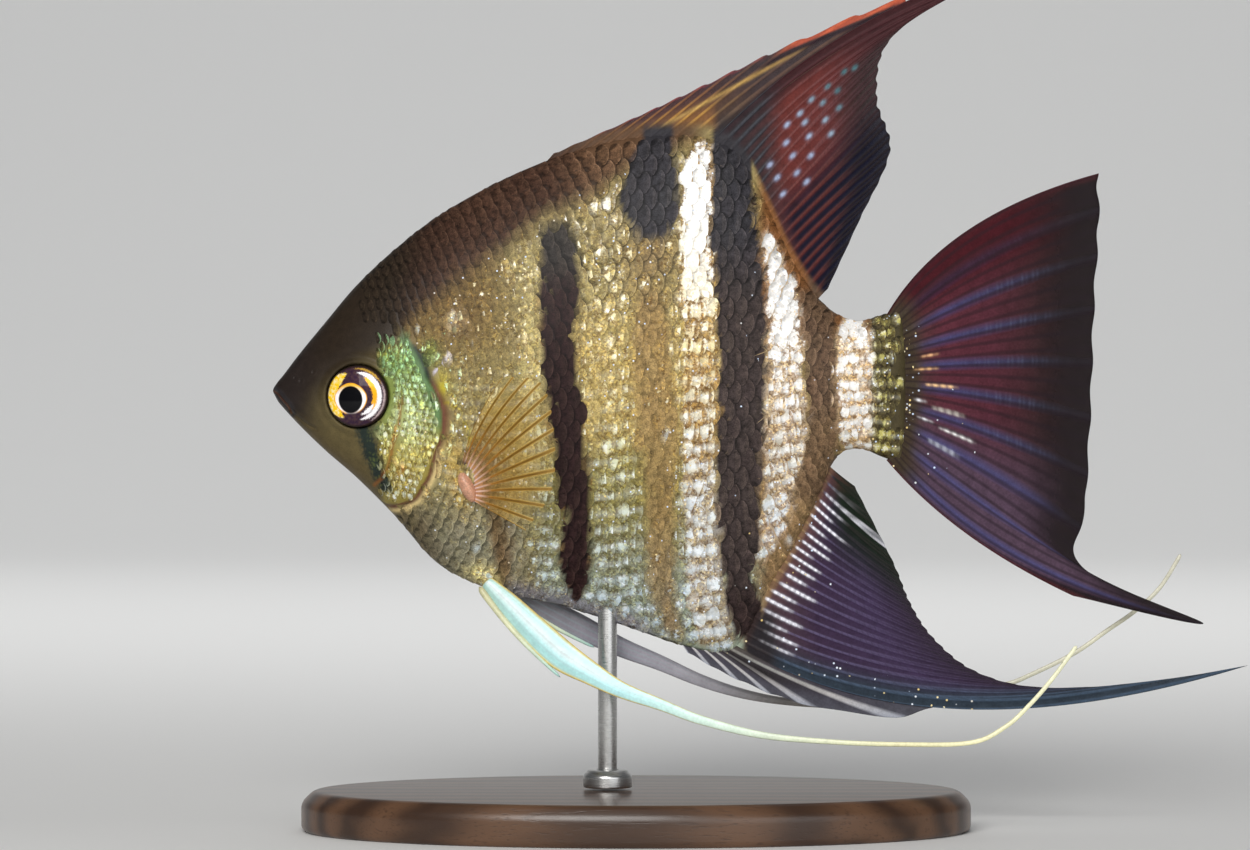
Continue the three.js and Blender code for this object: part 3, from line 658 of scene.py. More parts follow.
# %% Bars
# Each bar is a list of (height, front edge, rear edge), from the back down.
BARS = {
    "silver": [(29.5, 51.6, 54.2), (24.8, 50.3, 54.2), (10.2, 50.0, 54.2), (-6.7, 50.3, 54.4),
               (-14.0, 50.3, 54.2), (-26.1, 51.0, 54.9), (-31.5, 52.2, 56.3)],
    "bright": [(18.97, 60.0, 60.7), (17.5, 59.9, 61.7), (15.1, 60.2, 62.9), (10.2, 60.7, 64.5),
               (-6.7, 60.1, 65.1), (-11.6, 60.2, 64.9), (-16.4, 59.7, 63.2), (-20.8, 59.2, 60.7)],
    "stalk": [(8.3, 69.9, 72.6), (5.4, 68.9, 73.3), (-1.9, 68.9, 73.5), (-5.5, 69.2, 73.5),
              (-7.9, 70.4, 73.1)],
    "brown band": [(12.0, 64.4, 68.9), (0.0, 65.2, 69.1), (-9.0, 65.0, 69.3), (-14.0, 63.5, 68.0)],
    "tail bar": [(10.5, 73.0, 79.0), (-1.9, 73.5, 79.0), (-10.5, 73.3, 79.0)],
    "faint bar": [(11.4, 44.9, 47.9), (5.4, 44.0, 48.8), (-1.9, 44.2, 49.3), (-6.7, 44.7, 49.8),
                  (-14.0, 45.8, 49.3), (-23.7, 45.8, 49.3), (-26.1, 46.4, 49.1), (-30.9, 48.3, 50.8)],
    "faint mark": [(-15.0, 26.6, 28.6), (-19.0, 26.8, 29.3), (-22.5, 27.2, 29.2), (-25.0, 27.8, 29.2)],
    "blotch": [(33.0, 46.2, 49.2), (29.6, 45.1, 49.0), (27.2, 43.7, 49.7), (24.8, 43.1, 49.8),
               (22.4, 42.5, 50.0), (19.7, 43.3, 49.3), (17.9, 44.9, 47.9)],
    "rear bar": [(34.0, 54.2, 58.5), (27.2, 53.7, 58.5), (22.4, 53.8, 58.9), (17.5, 53.7, 59.5),
                 (10.2, 54.4, 60.3), (-6.7, 54.6, 60.1), (-14.0, 54.3, 59.6), (-18.8, 54.6, 59.5),
                 (-23.7, 55.2, 58.8), (-26.1, 54.9, 59.4), (-31.0, 56.8, 63.1)],
    "front bar": [(19.7, 33.8, 36.0), (17.5, 33.0, 37.4), (12.7, 32.8, 37.9), (10.2, 32.6, 37.7),
                  (5.4, 32.8, 37.2), (0.6, 33.2, 37.4), (-1.9, 33.5, 38.2), (-6.7, 34.2, 38.2),
                  (-11.6, 34.9, 39.1), (-16.4, 35.3, 38.8), (-21.3, 35.4, 39.1), (-24.9, 35.9, 38.5),
                  (-26.5, 36.7, 37.7)],
}


def bar(name, x, z, soft):
    """How much a place lies in a bar, from 0 to 1, with edges as soft as asked, in millimetres."""
    rows = np.array(BARS[name][::-1])
    front, rear = np.interp(z, rows[:, 0], rows[:, 1]), np.interp(z, rows[:, 0], rows[:, 2])
    ends = step(z, rows[0, 0] - soft, rows[0, 0] + soft) * step(z, rows[-1, 0] + soft, rows[-1, 0] - soft)
    return step(x, front - soft / 2, front + soft / 2) * step(x, rear + soft / 2, rear - soft / 2) * ends


def patch(x, z, at, size):
    """A soft oval patch."""
    return np.exp(-(((x - at[0]) / size[0]) ** 2) - ((z - at[1]) / size[1]) ** 2)


print(f"{len(BARS)} bars and bands")

# %% [markdown]
# The dark back reaches down along a slanting line from above the eye to the foot of the dorsal fin. The
# cheek shines green and turquoise behind the eye, and yellow lower down.

# %% The markings
BACK_LINE = np.array([(8.0, 1.0), (15.6, 7.2), (21.7, 11.8), (27.8, 15.9), (32.7, 19.8), (40.0, 23.6),
                      (45.0, 27.6), (50.0, 29.5), (78.0, 31.0)])


def markings(x, z, crisp=0.0):
    """The colour, foil and painted glints at places in the side view."""
    soft = 0.55 - 0.4 * crisp
    ground = np.empty((*np.shape(x), 5))
    ground[:] = TINTS["flank"]

    def lay(tint, mask, strength=1.0):
        ground[:] = ground + (TINTS[tint] - ground) * (mask * strength)[..., None]

    lay("high flank", step(z, 3.0, 14.0))
    lay("low flank", step(z, -4.0, -12.0))
    lay("belly", step(z, -14.0, -27.0))
    lay("front flank", step(x, 34.5, 30.0))
    lay("shoulder", step(x, 34.0, 24.0) * step(z, -2.0, 8.0))
    lay("breast", step(x, 33.5, 29.0) * step(z, -10.0, -19.0))
    lay("throat", step(x, 24.0, 17.0) * step(z, -12.0, -18.0))
    lay("belly front", patch(x + 0.5 * (z + 23.5), z, (26.2, -23.4), (2.1, 1.2)))
    lay("high flank", patch(x, z, (30.0, 16.0), (3.5, 3.0)), 0.6)
    lay("umber", patch(x, z, (46.4, 15.4), (3.4, 4.4)), 0.75)
    silver, bright, band = bar("silver", x, z, 0.9), bar("bright", x, z, 0.7), bar("brown band", x, z, 1.0)
    lay("silver", silver)
    lay("silver low", silver * step(z, -6.0, -16.0))
    lay("brown edge", step(x, 58.5, 60.5) * step(z, 2.0, 8.0))
    lay("ochre", step(x, 58.5, 60.5) * step(z, -5.0, -10.0))
    lay("bright", bright)
    lay("brown band", band)
    lay("ochre", band * step(z, -1.0, -6.0), 0.25)
    lay("stalk", bar("stalk", x, z, 0.6))
    lay("tail bar", bar("tail bar", x, z, 0.8))
    lay("faint bar", bar("faint bar", x, z, 1.6), 0.75)
    lay("smudge", bar("faint mark", x, z, 1.0), 0.85)
    lay("lilac", step(z - profile(x)[1], 2.6, 1.2) * step(x, 28.0, 30.0) * step(x, 50.0, 44.0), 0.8)
    strip = step(x, 29.5, 31.5) * step(x, 34.5, 33.0) * step(z, -14.0, -6.0) * step(z, 18.0, 12.0)
    lay("strip", strip * (1 - 0.5 * step(z, 1.0, 7.0)), 0.85)
    lay("gold", patch(x, z, (29.0, -8.5), (3.6, 5.5)), 0.35)
    lay("ochre", bright * step(z, -2.0, -9.0), 0.22)
    broken = 1.12 - 0.32 * step(z, 16.0, 5.0)
    ground[..., 3] *= np.where(ground[..., 3] > 0.84, broken, 1.0)
    back = step(z - np.interp(x, *BACK_LINE.T), -2.0, 2.2)
    lay("back", back * step(x, 55.0, 50.0))
    lay("rear back", back * step(x, 33.0, 41.0) * step(x, 55.0, 50.0))
    lay("nape", back * step(x, 24.0, 16.0))
    lay("blotch", bar("blotch", x, z, soft * 1.4))
    rear_bar, front_bar = bar("rear bar", x, z, soft), bar("front bar", x, z, soft)
    rims = 4 * (rear_bar * (1 - rear_bar) + front_bar * (1 - front_bar))
    lay("rust", np.clip(rims, 0, 1) * step(z, 16.0, 10.0), 0.55 * math.sqrt(crisp))
    lay("rear bar", rear_bar)
    lay("blotch", rear_bar * step(z, 8.0, 20.0))
    lay("bar", rear_bar * step(z, -21.0, -28.0), 0.5)
    lay("bar", front_bar)
    lay("bar high", front_bar * step(z, 11.0, 16.0))

    head = step(x, 19.5, 14.0)
    lay("cheek", step(x, 17.5, 12.5) * step(z, -15.5, -12.0) * step(z, 9.0, 3.0))
    lay("cheek", head * step(z, 4.0, -2.0))
    lay("forehead", head * step(z - (0.62 * x - 4.4), -2.5, 2.5))
    lay("snout", step(x, 8.0, 2.5))
    lay("jaw", step(x, 14.0, 9.0) * step(z + 0.72 * x, -0.4, -3.4))
    gill, side = from_line(x, z, GILL_EDGE)
    cover = np.where(side < 0, 1.0, 0.0) * step(x, 12.9, 14.2) * step(z, -15.2, -14.2) * step(z, 6.0, 3.6)
    lay("cover low", cover * step(z, -1.0, -6.0))
    lay("green", cover * step(z, -8.0, -3.0) * step(z, 6.0, 3.0))
    behind = np.where(side > 0, 1.0, 0.0)
    lay("green", patch(x, z, (19.5, 3.6), (1.1, 1.5)) * behind)
    lay("granules", patch(x, z, (21.2, -0.3), (0.85, 1.25)) * behind)
    lay("granules", bell(from_line(x, z, YELLOW_LINE)[0], 0.20))
    lay("violet", bell(from_line(x, z, VIOLET_LINE)[0], 0.16))
    lay("bright", patch(x, z, (22.6, 7.7), (0.9, 0.8)), 0.7)
    margin = patch(x + 0.24 * (z + 11.0), z, (22.7, -11.0), (0.85, 3.3))
    lay("pad gold", margin * behind, 0.85)
    lay("gold", patch(x, z, (23.0, -8.3), (0.7, 0.6)) * behind)
    lay("bar", patch(x, z, (23.4, -9.5), (0.6, 0.55)) * behind)
    lay("yellow", patch(x, z, (17.0, -4.6), (2.2, 2.6)) * cover, 0.9)
    lay("turquoise", np.where(side < 0, bell(gill - 0.5, 0.8), 0.0) * step(z, -7.0, -4.0), 0.7)
    lay("turquoise", patch(x, z, (15.4, 2.2), (1.8, 1.0)) * cover, 0.5)
    lay("turquoise", patch(x, z, (13.4, -5.6), (0.9, 0.9)), 0.5)
    ripple = np.sin(5.3 * z + 3.0 * np.sin(4.1 * x)) * np.sin(6.7 * x + 2.0 * np.sin(3.3 * z))
    under = from_line(x, z, EYE_STREAK)[0] + 0.34 * ripple
    streak = step(under, 1.35, 0.45) * step(z, -3.7, -5.4)
    lay("eye blotch", streak)
    lay("green", streak * step(ripple, 0.25, 0.6) * step(x, 11.6, 12.4), 0.35)
    fold, _ = from_line(x, z, CHEEK_FOLD)
    lay("amber", bell(fold, 0.22) * step(z, 0.0, -2.0), 0.75)
    lay("amber", patch(x, z, (16.06, -10.23), (0.45, 0.4)))
    window = step(z, 5.4, 4.2) * step(x, 13.6, 15.0)
    lay("gill rim", bell(gill - 0.62, 0.30) * behind * window * step(z, -7.0, -9.0))
    wide = 0.35 + 0.65 * bell(z + 3.4, 3.0)
    lay("gill", np.where(side > 0, bell(gill / wide, 0.95), bell(gill, 0.14)) * window * step(z, 1.5, 0.0))
    lay("eye blotch", bell(gill, 0.38) * window * step(z, -0.5, 1.2))
    slit, _ = from_line(x, z, MOUTH_SLIT)
    lay("lip", bell(slit - 0.36, 0.3) * step(x, 4.0, 2.6), 0.8)
    lay("gill", bell(slit, 0.13), 0.4)
    return ground


# %% The foil's sheen
# Each row is a height, and the red, green and blue of the foil there.
SHEENS = [(-27.0, 0.62, 0.76, 0.86), (-21.0, 0.72, 0.83, 0.80), (-8.0, 0.84, 0.86, 0.56),
          (4.0, 1.00, 0.84, 0.46), (15.0, 1.00, 0.90, 0.56), (24.0, 1.00, 0.97, 0.90)]
RICH_SHEENS = [(-26.0, 0.88, 0.94, 0.97), (-14.0, 0.90, 0.95, 1.00), (4.0, 1.00, 0.84, 0.46),
               (15.0, 1.00, 0.94, 0.82), (22.0, 1.00, 0.98, 0.94)]
CHEEK_SHEENS = [(-9.0, 0.95, 0.90, 0.30), (-3.0, 0.80, 1.00, 0.64), (2.5, 0.50, 0.92, 0.42)]
REAR_SHEEN, TAIL_SHEEN = np.array((1.0, 0.97, 0.93)), np.array((0.62, 0.56, 0.17))


def by_height(z, rows):
    """Colours at heights, from rows of height, red, green and blue."""
    rows = np.array(rows)
    return np.stack([np.interp(z, rows[:, 0], rows[:, k]) for k in (1, 2, 3)], -1)


def sheen(x, z):
    """The colour that foil has at places in the side view."""
    colour = by_height(z, SHEENS)

    def lay(tint, mask):
        colour[:] = colour * (1 - mask[..., None]) + tint * mask[..., None]

    lay(by_height(z, RICH_SHEENS), np.maximum(bar("silver", x, z, 1.5), step(x, 59.0, 60.5)))
    lay(REAR_SHEEN, step(x, 59.0, 60.5) * step(z, -12.0, -4.0))
    lay(TAIL_SHEEN, step(x, 73.0, 74.0))
    _, side = from_line(x, z, GILL_EDGE)
    near = step(x, 24.5, 22.5) * step(z, -13.0, -8.0) * step(z, 10.0, 6.0)
    lay(by_height(z, CHEEK_SHEENS), near * np.where(side < 0, 1.0, 0.75))
    return colour


print(f"foil has {len(SHEENS)} sheens on the flank, {len(CHEEK_SHEENS)} on the cheek")

# %% [markdown]
# ## Finishes of skin and scales
# Fish skin is wet and smooth: a clear coat over a softly mottled colour. The scales share that finish,
# but they shine more like foil, carry painted glints, and are finely ringed. Each scale also gets a
# painted shadow behind the scales in front of it and a painted highlight on its rear rim. On the lower
# flank the middle of each row is paler and the space between rows is olive, broken up by noise. Colour,
# foil, painted glints, rows, painted root shade and the strength of the painted shadows and rim
# highlights come from attributes painted on the mesh by the markings.

# %% Skin and scale finishes
skin_finish, tree, shader = new_finish(
    "wet_fish_skin", Roughness=0.42, IOR=1.38, Specular_IOR_Level=0.14, Coat_Weight=0.06, Coat_Roughness=0.15,
)
mottled = tree.pattern("Mottle", Colour=tree.attribute("Paint"),
                       Amount=0.22, Coarse=1100.0, Fine=7000.0)
tree.feed(shader["Base Color"], mottled["Colour"])
tree.feed(shader["Normal"], tree.bump(mottled["Height"], 0.35, 0.00008))

scale_finish, tree, shader = new_finish(
    "fish_scale", Roughness=0.40, IOR=1.40, Specular_IOR_Level=0.12, Coat_Weight=0.03, Coat_Roughness=0.2,
)
foil, edges = tree.attribute("Foil", "Fac"), tree.attribute("Edges", "Fac")
overlap = tree.group("Overlap", Map=tree.uv("ScaleMap"))
plain = tree.remap(foil, 0.30, 0.08)
dry = tree.attribute("Paint")
# The rear rim is painted paler: a painted highlight along the scale's edge.
rim_highlighted = tree.mix(tree.times(overlap["RimHighlight"], tree.times(edges, 0.75)), dry,
                  tree.mix(1.0, dry, (1.7, 1.7, 1.75, 1.0), "MULTIPLY"))
mottled = tree.pattern("Mottle", Colour=rim_highlighted,
                       Amount=tree.remap(plain, 0.0, 1.0, 0.40, 0.66), Coarse=1500.0, Fine=6500.0)
grained = tree.pattern("Granules", Colour=mottled["Colour"],
                       Amount=tree.remap(foil, 0.08, 0.34))
silvered = tree.pattern("Silver", Colour=grained["Colour"],
                        Amount=foil, Sheen=tree.attribute("Sheen"))
on_row = tree.times(overlap["Row"], tree.remap(foil, 0.15, 0.40))
sparks = tree.times(tree.attribute("GlintAmount", "Fac"), tree.remap(on_row, 0.0, 1.0, 0.6, 3.2))
broken = tree.remap(tree.noise(tree.place(), 560.0, 2.0), 0.40, 0.62)
rowed = tree.times(tree.attribute("Rows", "Fac"), broken)
between = tree.times(tree.times(rowed, tree.minus(1.0, overlap["Row"])), 0.6)
olive = tree.mix(between, silvered["Colour"], (0.58, 0.46, 0.22, 1.0), "MULTIPLY")
pale = tree.mix(tree.times(tree.times(rowed, overlap["Row"]), 0.40), olive,
                (0.66, 0.70, 0.70, 1.0))
# Painted glints: small bright flakes that stand for light catching the scales.
glints_and_specks = tree.pattern("GlintsAndSpecks", Colour=pale, Amount=sparks, Size=2900.0)
shaded = tree.node("ShaderNodeVectorMath", operation="SCALE")
tree.feed(shaded.inputs[0], glints_and_specks["Colour"])
# The crescent of painted shadow behind the scales in front.
shadow = tree.times(overlap["Crescent"], tree.times(edges, 0.60))
tree.feed(shaded.inputs["Scale"],
          tree.times(tree.attribute("Shade", "Fac"), tree.minus(1.0, shadow)))
tree.feed(shader["Base Color"], shaded.outputs[0])
tree.feed(shader["Metallic"], tree.times(silvered["Mask"], 0.12))
tree.feed(shader["Roughness"], tree.remap(silvered["Mask"], 0.0, 1.0, 0.50, 0.36))
u, v, _ = tree.parts(tree.uv("ScaleMap"))
radius = tree.math("POWER", tree.plus(tree.times(u, u), tree.times(v, v)), 0.5)
rings = tree.math("SINE", tree.times(radius, 42.0))
height = tree.plus(tree.times(rings, 0.10), mottled["Height"])
tree.feed(shader["Normal"], tree.bump(height, 0.30, 0.00006))
print("finishes:", skin_finish.name, scale_finish.name)

# %% [markdown]
# ## From a flat slab to a curved piece
# Skin, fins, feelers and scales all start as a flat grid whose two directions run along the piece and
# across it. A fin needs two faces, so its grid is extruded into a thin closed slab. Then every corner is
# moved to its place in space. The grid's own coordinates stay known, so paint and UV maps can follow.

# %% Making pieces from grids


def grid_mesh(columns, rows, slab):
    """A unit grid, or a closed slab made of one, with its corners' u, v and side (-1 or +1)."""
    bm = bmesh.new()
    bmesh.ops.create_grid(bm, x_segments=columns, y_segments=rows, size=0.5)
    if slab:
        kept = bm.faces[:]
        made = bmesh.ops.extrude_face_region(bm, geom=kept, use_keep_orig=True)
        raised = [item for item in made["geom"] if isinstance(item, bmesh.types.BMVert)]
        bmesh.ops.translate(bm, verts=raised, vec=(0.0, 0.0, 1.0))
        bmesh.ops.recalc_face_normals(bm, faces=bm.faces)
    return bm


def as_mesh(bm, name):
    """A new mesh from a bmesh, which isn't needed after it."""
    mesh = bpy.data.meshes.new(name)
    bm.to_mesh(mesh)
    bm.free()
    return mesh


def ball_mesh(name, segments, rings):
    """A ball of radius 1, and its corners."""
    bm = bmesh.new()
    bmesh.ops.create_uvsphere(bm, u_segments=segments, v_segments=rings, radius=1.0)
    mesh = as_mesh(bm, name)
    return mesh, corners(mesh)


# %% Corners and what is painted on them
def corners(mesh):
    flat = np.empty(len(mesh.vertices) * 3)
    mesh.vertices.foreach_get("co", flat)
    return flat.reshape(-1, 3)


def set_corners(mesh, points):
    mesh.vertices.foreach_set("co", np.ascontiguousarray(world(points), float).ravel())
    mesh.update()


def store(mesh, name, values):
    """Keeps a colour or a number for each corner of a mesh, for its material to read."""
    colour = np.ndim(values) == 2
    layer = mesh.attributes.new(name, "FLOAT_COLOR" if colour else "FLOAT", "POINT")
    if colour:
        values = np.concatenate([values, np.ones((len(values), 1))], axis=1)
        layer.data.foreach_set("color", values.astype(np.float32).ravel())
    else:
        layer.data.foreach_set("value", np.asarray(values, np.float32))


def store_uv(mesh, name, coordinates):
    """A UV map from a pair of coordinates for each corner."""
    layer = mesh.uv_layers.new(name=name)
    index = np.empty(len(mesh.loops), np.int32)
    mesh.loops.foreach_get("vertex_index", index)
    layer.data.foreach_set("uv", coordinates[index].astype(np.float32).ravel())


# %% A finished piece
def close_up(mesh, distance):
    """Merges doubled corners and turns the faces outwards."""
    bm = bmesh.new()
    bm.from_mesh(mesh)
    bmesh.ops.remove_doubles(bm, verts=bm.verts, dist=distance)
    bmesh.ops.dissolve_degenerate(bm, edges=bm.edges, dist=distance / 10)
    bmesh.ops.recalc_face_normals(bm, faces=bm.faces)
    bm.to_mesh(mesh)
    bm.free()


def add_piece(name, mesh, finish, smooth=True):
    """Puts a finished mesh in the scene, riding with the fish."""
    mesh.materials.clear()
    mesh.materials.append(finish)
    if smooth:
        mesh.polygons.foreach_set("use_smooth", np.ones(len(mesh.polygons), bool))
    piece = new_object(name, mesh)
    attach(piece, "root")
    mesh.calc_loop_triangles()
    print(f"{name}: {len(mesh.loop_triangles)} triangles")
    return piece


# %% [markdown]
# ## One skin
# The skin is a single grid, wrapped round the body from the snout to the tail root. More than half of its
# rows lie in the head, where the relief is fine. Where the grid meets itself under the belly the corners are
# merged, and at the snout and the tail the rows close to a point, so there is no seam or hole.

# %% The skin
SKIN_ROWS = 330
SKIN_COLUMNS = 276
HEAD_SHARE = 0.56  # the part of the rows that lies in the head
HEAD_STATIONS = 6.4

skin_mesh = as_mesh(grid_mesh(SKIN_COLUMNS, SKIN_ROWS, slab=False), "fish_skin")
flat = corners(skin_mesh) + 0.5
row = np.rint(flat[:, 1] * SKIN_ROWS).astype(int)
column = np.rint(flat[:, 0] * SKIN_COLUMNS).astype(int)

share = np.linspace(0, 1, SKIN_ROWS + 1)
station = np.interp(share, [0, HEAD_SHARE, 1], [0, HEAD_STATIONS, len(STATIONS) - 1])
ring_x = smooth_rows(STATIONS, station)[:, 0]
around = np.linspace(0, 2, SKIN_COLUMNS + 1)
from_belly = np.minimum(around, 2 - around)
ring_angle = np.empty((SKIN_ROWS + 1, SKIN_COLUMNS + 1))
for i, x in enumerate(ring_x):
    k = int(round(x / TAIL_X * (len(MAP_X) - 1)))
    g = girth_low[k] + from_belly * (girth_high[k] - girth_low[k])
    ring_angle[i] = np.interp(g, girth[k], MAP_ANGLE)
ring_angle[:, from_belly == 0] = -math.pi / 2

skin_side = np.where(around[column] <= 1, -1.0, 1.0)
skin_at = skin_point(ring_x[row], ring_angle[row, column], skin_side)
paint = markings(skin_at[:, 0], skin_at[:, 2], 0.5)
store(skin_mesh, "Paint", paint[:, :3])
store_uv(skin_mesh, "OFBake", flat[:, :2])
set_corners(skin_mesh, skin_at)
close_up(skin_mesh, 2e-6)
skin = add_piece("fish_skin", skin_mesh, skin_finish)
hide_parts("head", "lower_jaw", "gill_cover_left", "gill_cover_right", "trunk", "tail_stalk")

# %% [markdown]
# ## Scales
# Each flank carries about a thousand scales, in level rows that close up towards the head. A scale is
# a thin lens with a rounded rear edge. One is modelled flat, repeated by an array, and each copy is bent
# onto its own place on the flank. Its root goes under the skin and its rear edge stands over the next.

# %% One scale
SCALE_CELLS = 6
DRAWN_SIZE = 1.5  # the half width that a scale's lengths are drawn for
BAKE_PATCH = 0.0015  # half of a scale's patch on the skin's unwrap


def scale_mesh(count):
    """So many copies of a closed flat scale, and each corner's place: across, along (-1..1), copy."""
    bm = grid_mesh(SCALE_CELLS, SCALE_CELLS, slab=False)
    rim = [edge for edge in bm.edges if edge.is_boundary]
    bmesh.ops.contextual_create(bm, geom=rim)
    bmesh.ops.recalc_face_normals(bm, faces=bm.faces)
    for edge in rim:
        edge.smooth = False
    single = as_mesh(bm, "one_scale")
    holder = new_object("one_scale", single)
    array = holder.modifiers.new("copies", "ARRAY")
    array.count = count
    array.use_relative_offset = False
    array.use_constant_offset = True
    array.constant_offset_displace = (0.0, 0.0, 0.0)
    held = holder.evaluated_get(bpy.context.evaluated_depsgraph_get())
    mesh = bpy.data.meshes.new_from_object(held)
    bpy.data.objects.remove(holder)
    bpy.data.meshes.remove(single)
    flat = corners(mesh) * 2
    copy = np.arange(len(flat)) // (len(flat) // count)
    return mesh, flat[:, 0], flat[:, 1], copy


print(f"a scale has {2 * SCALE_CELLS**2 + 4 * SCALE_CELLS - 2} triangles")

# %% A place in the skin's unwrap
def bake_place(x, angle, side):
    """Where a place on the skin lies in the skin's own unwrap."""
    i = np.clip(np.rint(x / TAIL_X * (len(MAP_X) - 1)).astype(int), 0, len(MAP_X) - 1)
    g = np.array([np.interp(a, MAP_ANGLE, girth[k]) for a, k in zip(angle, i)])
    from_belly = (g - girth_low[i]) / (girth_high[i] - girth_low[i])
    across = np.where(side < 0, from_belly / 2, 1 - from_belly / 2)
    return np.stack([across, np.interp(x, ring_x, share)], -1)


# %% Laying scales
def lay_scales(name, side, x, g, lean, size, root_reach, lift, finish, shine=1.0, ragged=0.09,
               grain=0.10, root_shade=0.34, rim_highlight=0.0):
    """A joined mesh of scales at places on the flank's map, painted with the markings."""
    mesh, q, p, k = scale_mesh(len(x))
    arc = np.cos(q * math.pi / 2)
    rear = SCALE_REACH * arc
    root = -0.5 - 1.6 * arc**0.7 * root_reach[k]
    mix = (p + 1) / 2
    along = (root + (rear - root) * mix) * size[k] / DRAWN_SIZE
    across = np.sin(q * math.pi / 2) * size[k]
    turn = lean[k]
    place_x = np.clip(x[k] + along * np.cos(turn) - across * np.sin(turn), 0.3, TAIL_X - 0.4)
    place_g = g[k] + along * np.sin(turn) + across * np.cos(turn)
    here, out = flank(place_x, place_g, side)
    rise = -0.08 + (lift + 0.08) * mix + 0.02 * (1 - q**2) * mix
    points = here + out * (rise * size[k] / DRAWN_SIZE)[:, None]

    seen_x = x + 0.25 * size
    angle = angle_at(seen_x, g)
    seen = skin_point(seen_x, angle, side)
    tone = markings(seen[:, 0], seen[:, 2], 1.0)
    stray = 0.20 * rng.normal(size=(len(x), 2))[k] + 0.06 * rng.normal(size=(len(k), 2))
    fine = markings(here[:, 0] + stray[:, 0], here[:, 2] + stray[:, 1], 1.0)
    vary = 1 + ragged * rng.normal(size=len(x))
    hue = 1 + 0.03 * rng.normal(size=(len(x), 3))
    whole = tone[:, :3] * vary[:, None] * hue
    colour = whole[k] * 0.25 + fine[:, :3] * 0.75
    colour = colour * np.exp(grain * rng.normal(size=len(k)))[:, None]
    place = along / size[k] * DRAWN_SIZE
    # The rear rim is painted paler: a painted highlight along the scale's thin edge.
    rim = step(mix, 0.86, 0.98) * step(np.abs(q), 1.02, 0.7)
    plain = step(fine[:, 3], 0.40, 0.15) * (0.45 + 0.55 * step(fine[:, 0], 0.05, 0.12))
    pale = colour * 1.5 + (0.035, 0.026, 0.016)
    colour += (pale - colour) * (rim * (0.10 + 0.36 * plain))[:, None]
    # Painted glints: some scales get a white or blue highlight spot on their exposed part.
    glint = rng.random(len(x)) < tone[:, 4] * 0.5 * step(tone[:, 4], 0.05, 0.12)
    blue = rng.random(len(x))[:, None]
    glint_tint = np.array((0.95, 0.93, 0.84)) * (1 - blue) + np.array((0.62, 0.80, 0.95)) * blue
    glint_spot = bell(place - 0.30, 0.30) * bell(q, 0.30) * glint[k]
    colour += (glint_tint[k] - colour) * (glint_spot * 0.6 * shine)[:, None]
    own = 1 + 0.17 * rng.normal(size=len(x))
    shift = rng.normal(scale=0.15, size=(len(x), 2))[k]
    middle = bell(place - 0.25 - shift[:, 0] * 1.5, 0.46) * bell(q - shift[:, 1], 0.32)
    level = bell(q - shift[:, 1], 0.33)
    foil = tone[k, 3] * 0.3 + fine[:, 3] * 0.7
    glow = sheen(here[:, 0], here[:, 2])
    rows = (0.40 * step(foil, 0.46, 0.60) + 0.22 * step(foil, 0.62, 0.90)) * own[k]
    rows = rows * (1 + 0.4 * step(here[:, 2], -2.0, -8.0))
    colour *= (1 - 0.36 * rows * (1 - level))[:, None]
    # The paler middle of each row, in the foil's colour, and on the cheek a painted highlight on each rim.
    lit = rows * level * (0.70 + 0.30 * middle) + rim * rim_highlight
    colour += (glow * (0.82, 0.84, 0.92) - colour) * lit[:, None]
    store(mesh, "Paint", np.clip(colour, 0.004, 1.0))
    rich = step(foil, 0.69, 0.76)
    rear_top = step(here[:, 2], 2.0, 7.0) * step(here[:, 0], 59.0, 60.0)
    solid = 0.42 * np.maximum(step(here[:, 2], 8.0, 13.0), rear_top)
    cells = 0.46 + solid + (0.52 - solid) * level + 0.10 * middle
    foil = foil * own[k] * ((0.42 + 1.10 * middle) * (1 - rich) + cells * rich)
    store(mesh, "Foil", np.clip(foil * shine, 0, 1))
    store(mesh, "Sheen", glow)
    # How many painted glints each place gets.
    store(mesh, "GlintAmount", fine[:, 4] * shine * 0.4)
    store(mesh, "Shade", 1 - root_shade * bell(place + 0.85, 0.34))
    # How strong the painted crescent shadow and the rim's painted highlight are: strongest on the upper
    # flank, the breast and the dark bars.
    upper = step(here[:, 2], 5.0, 12.0) * step(here[:, 0], 35.0, 38.0) * (1 - 0.5 * rich)
    breast = step(here[:, 0], 33.5, 28.0) * step(here[:, 2], -9.0, -16.0)
    dark = step(fine[:, :3].sum(axis=1), 0.36, 0.16)
    store(mesh, "Rows", np.clip(rows * step(here[:, 2], 6.0, -2.0), 0, 1))
    store(mesh, "Edges", np.clip(0.16 + 0.62 * np.maximum(upper, breast) + 0.55 * dark, 0, 1))

    baked = bake_place(x, angle_at(x, g), side)
    store_uv(mesh, "OFBake", baked[k] + np.stack([q, p], -1) * BAKE_PATCH)
    store_uv(mesh, "ScaleMap", np.stack([place, across / size[k]], -1))
    set_corners(mesh, points)
    return add_piece(name, mesh, finish)


# %% [markdown]
# The rows follow the fish: they spread from the gill opening, keep their distance over the flank, and
# draw together at the tail. The face stays bare, and the gill cover has small scales of its own.

# %% Rows of scales
ROW_APART = 2.12
COLUMN_APART = 1.72
SCALE_SIZE = 1.52  # half a scale's width, on the middle of the flank
SCALE_LIFT = 0.085  # how far its rear edge stands out of the skin
CHEEK_ROW, CHEEK_COLUMN, CHEEK_SIZE = 0.98, 0.82, 0.72


def row_spread(x):
    return np.interp(x, [8, 16, 24, 40, 58, 66, 72, 78], [0.66, 0.74, 0.84, 1.0, 0.98, 0.84, 0.72, 0.76])


column_x = [7.0]
while column_x[-1] < 76.2:
    column_x.append(column_x[-1] + COLUMN_APART * float(row_spread(column_x[-1])) ** 1.3)
column_x = np.array(column_x)


def behind_gill(x, z):
    """How far a place lies behind the gill opening, and less than zero on the cover or the face."""
    gap, side = from_line(x, z, GILL_EDGE)
    return gap * side


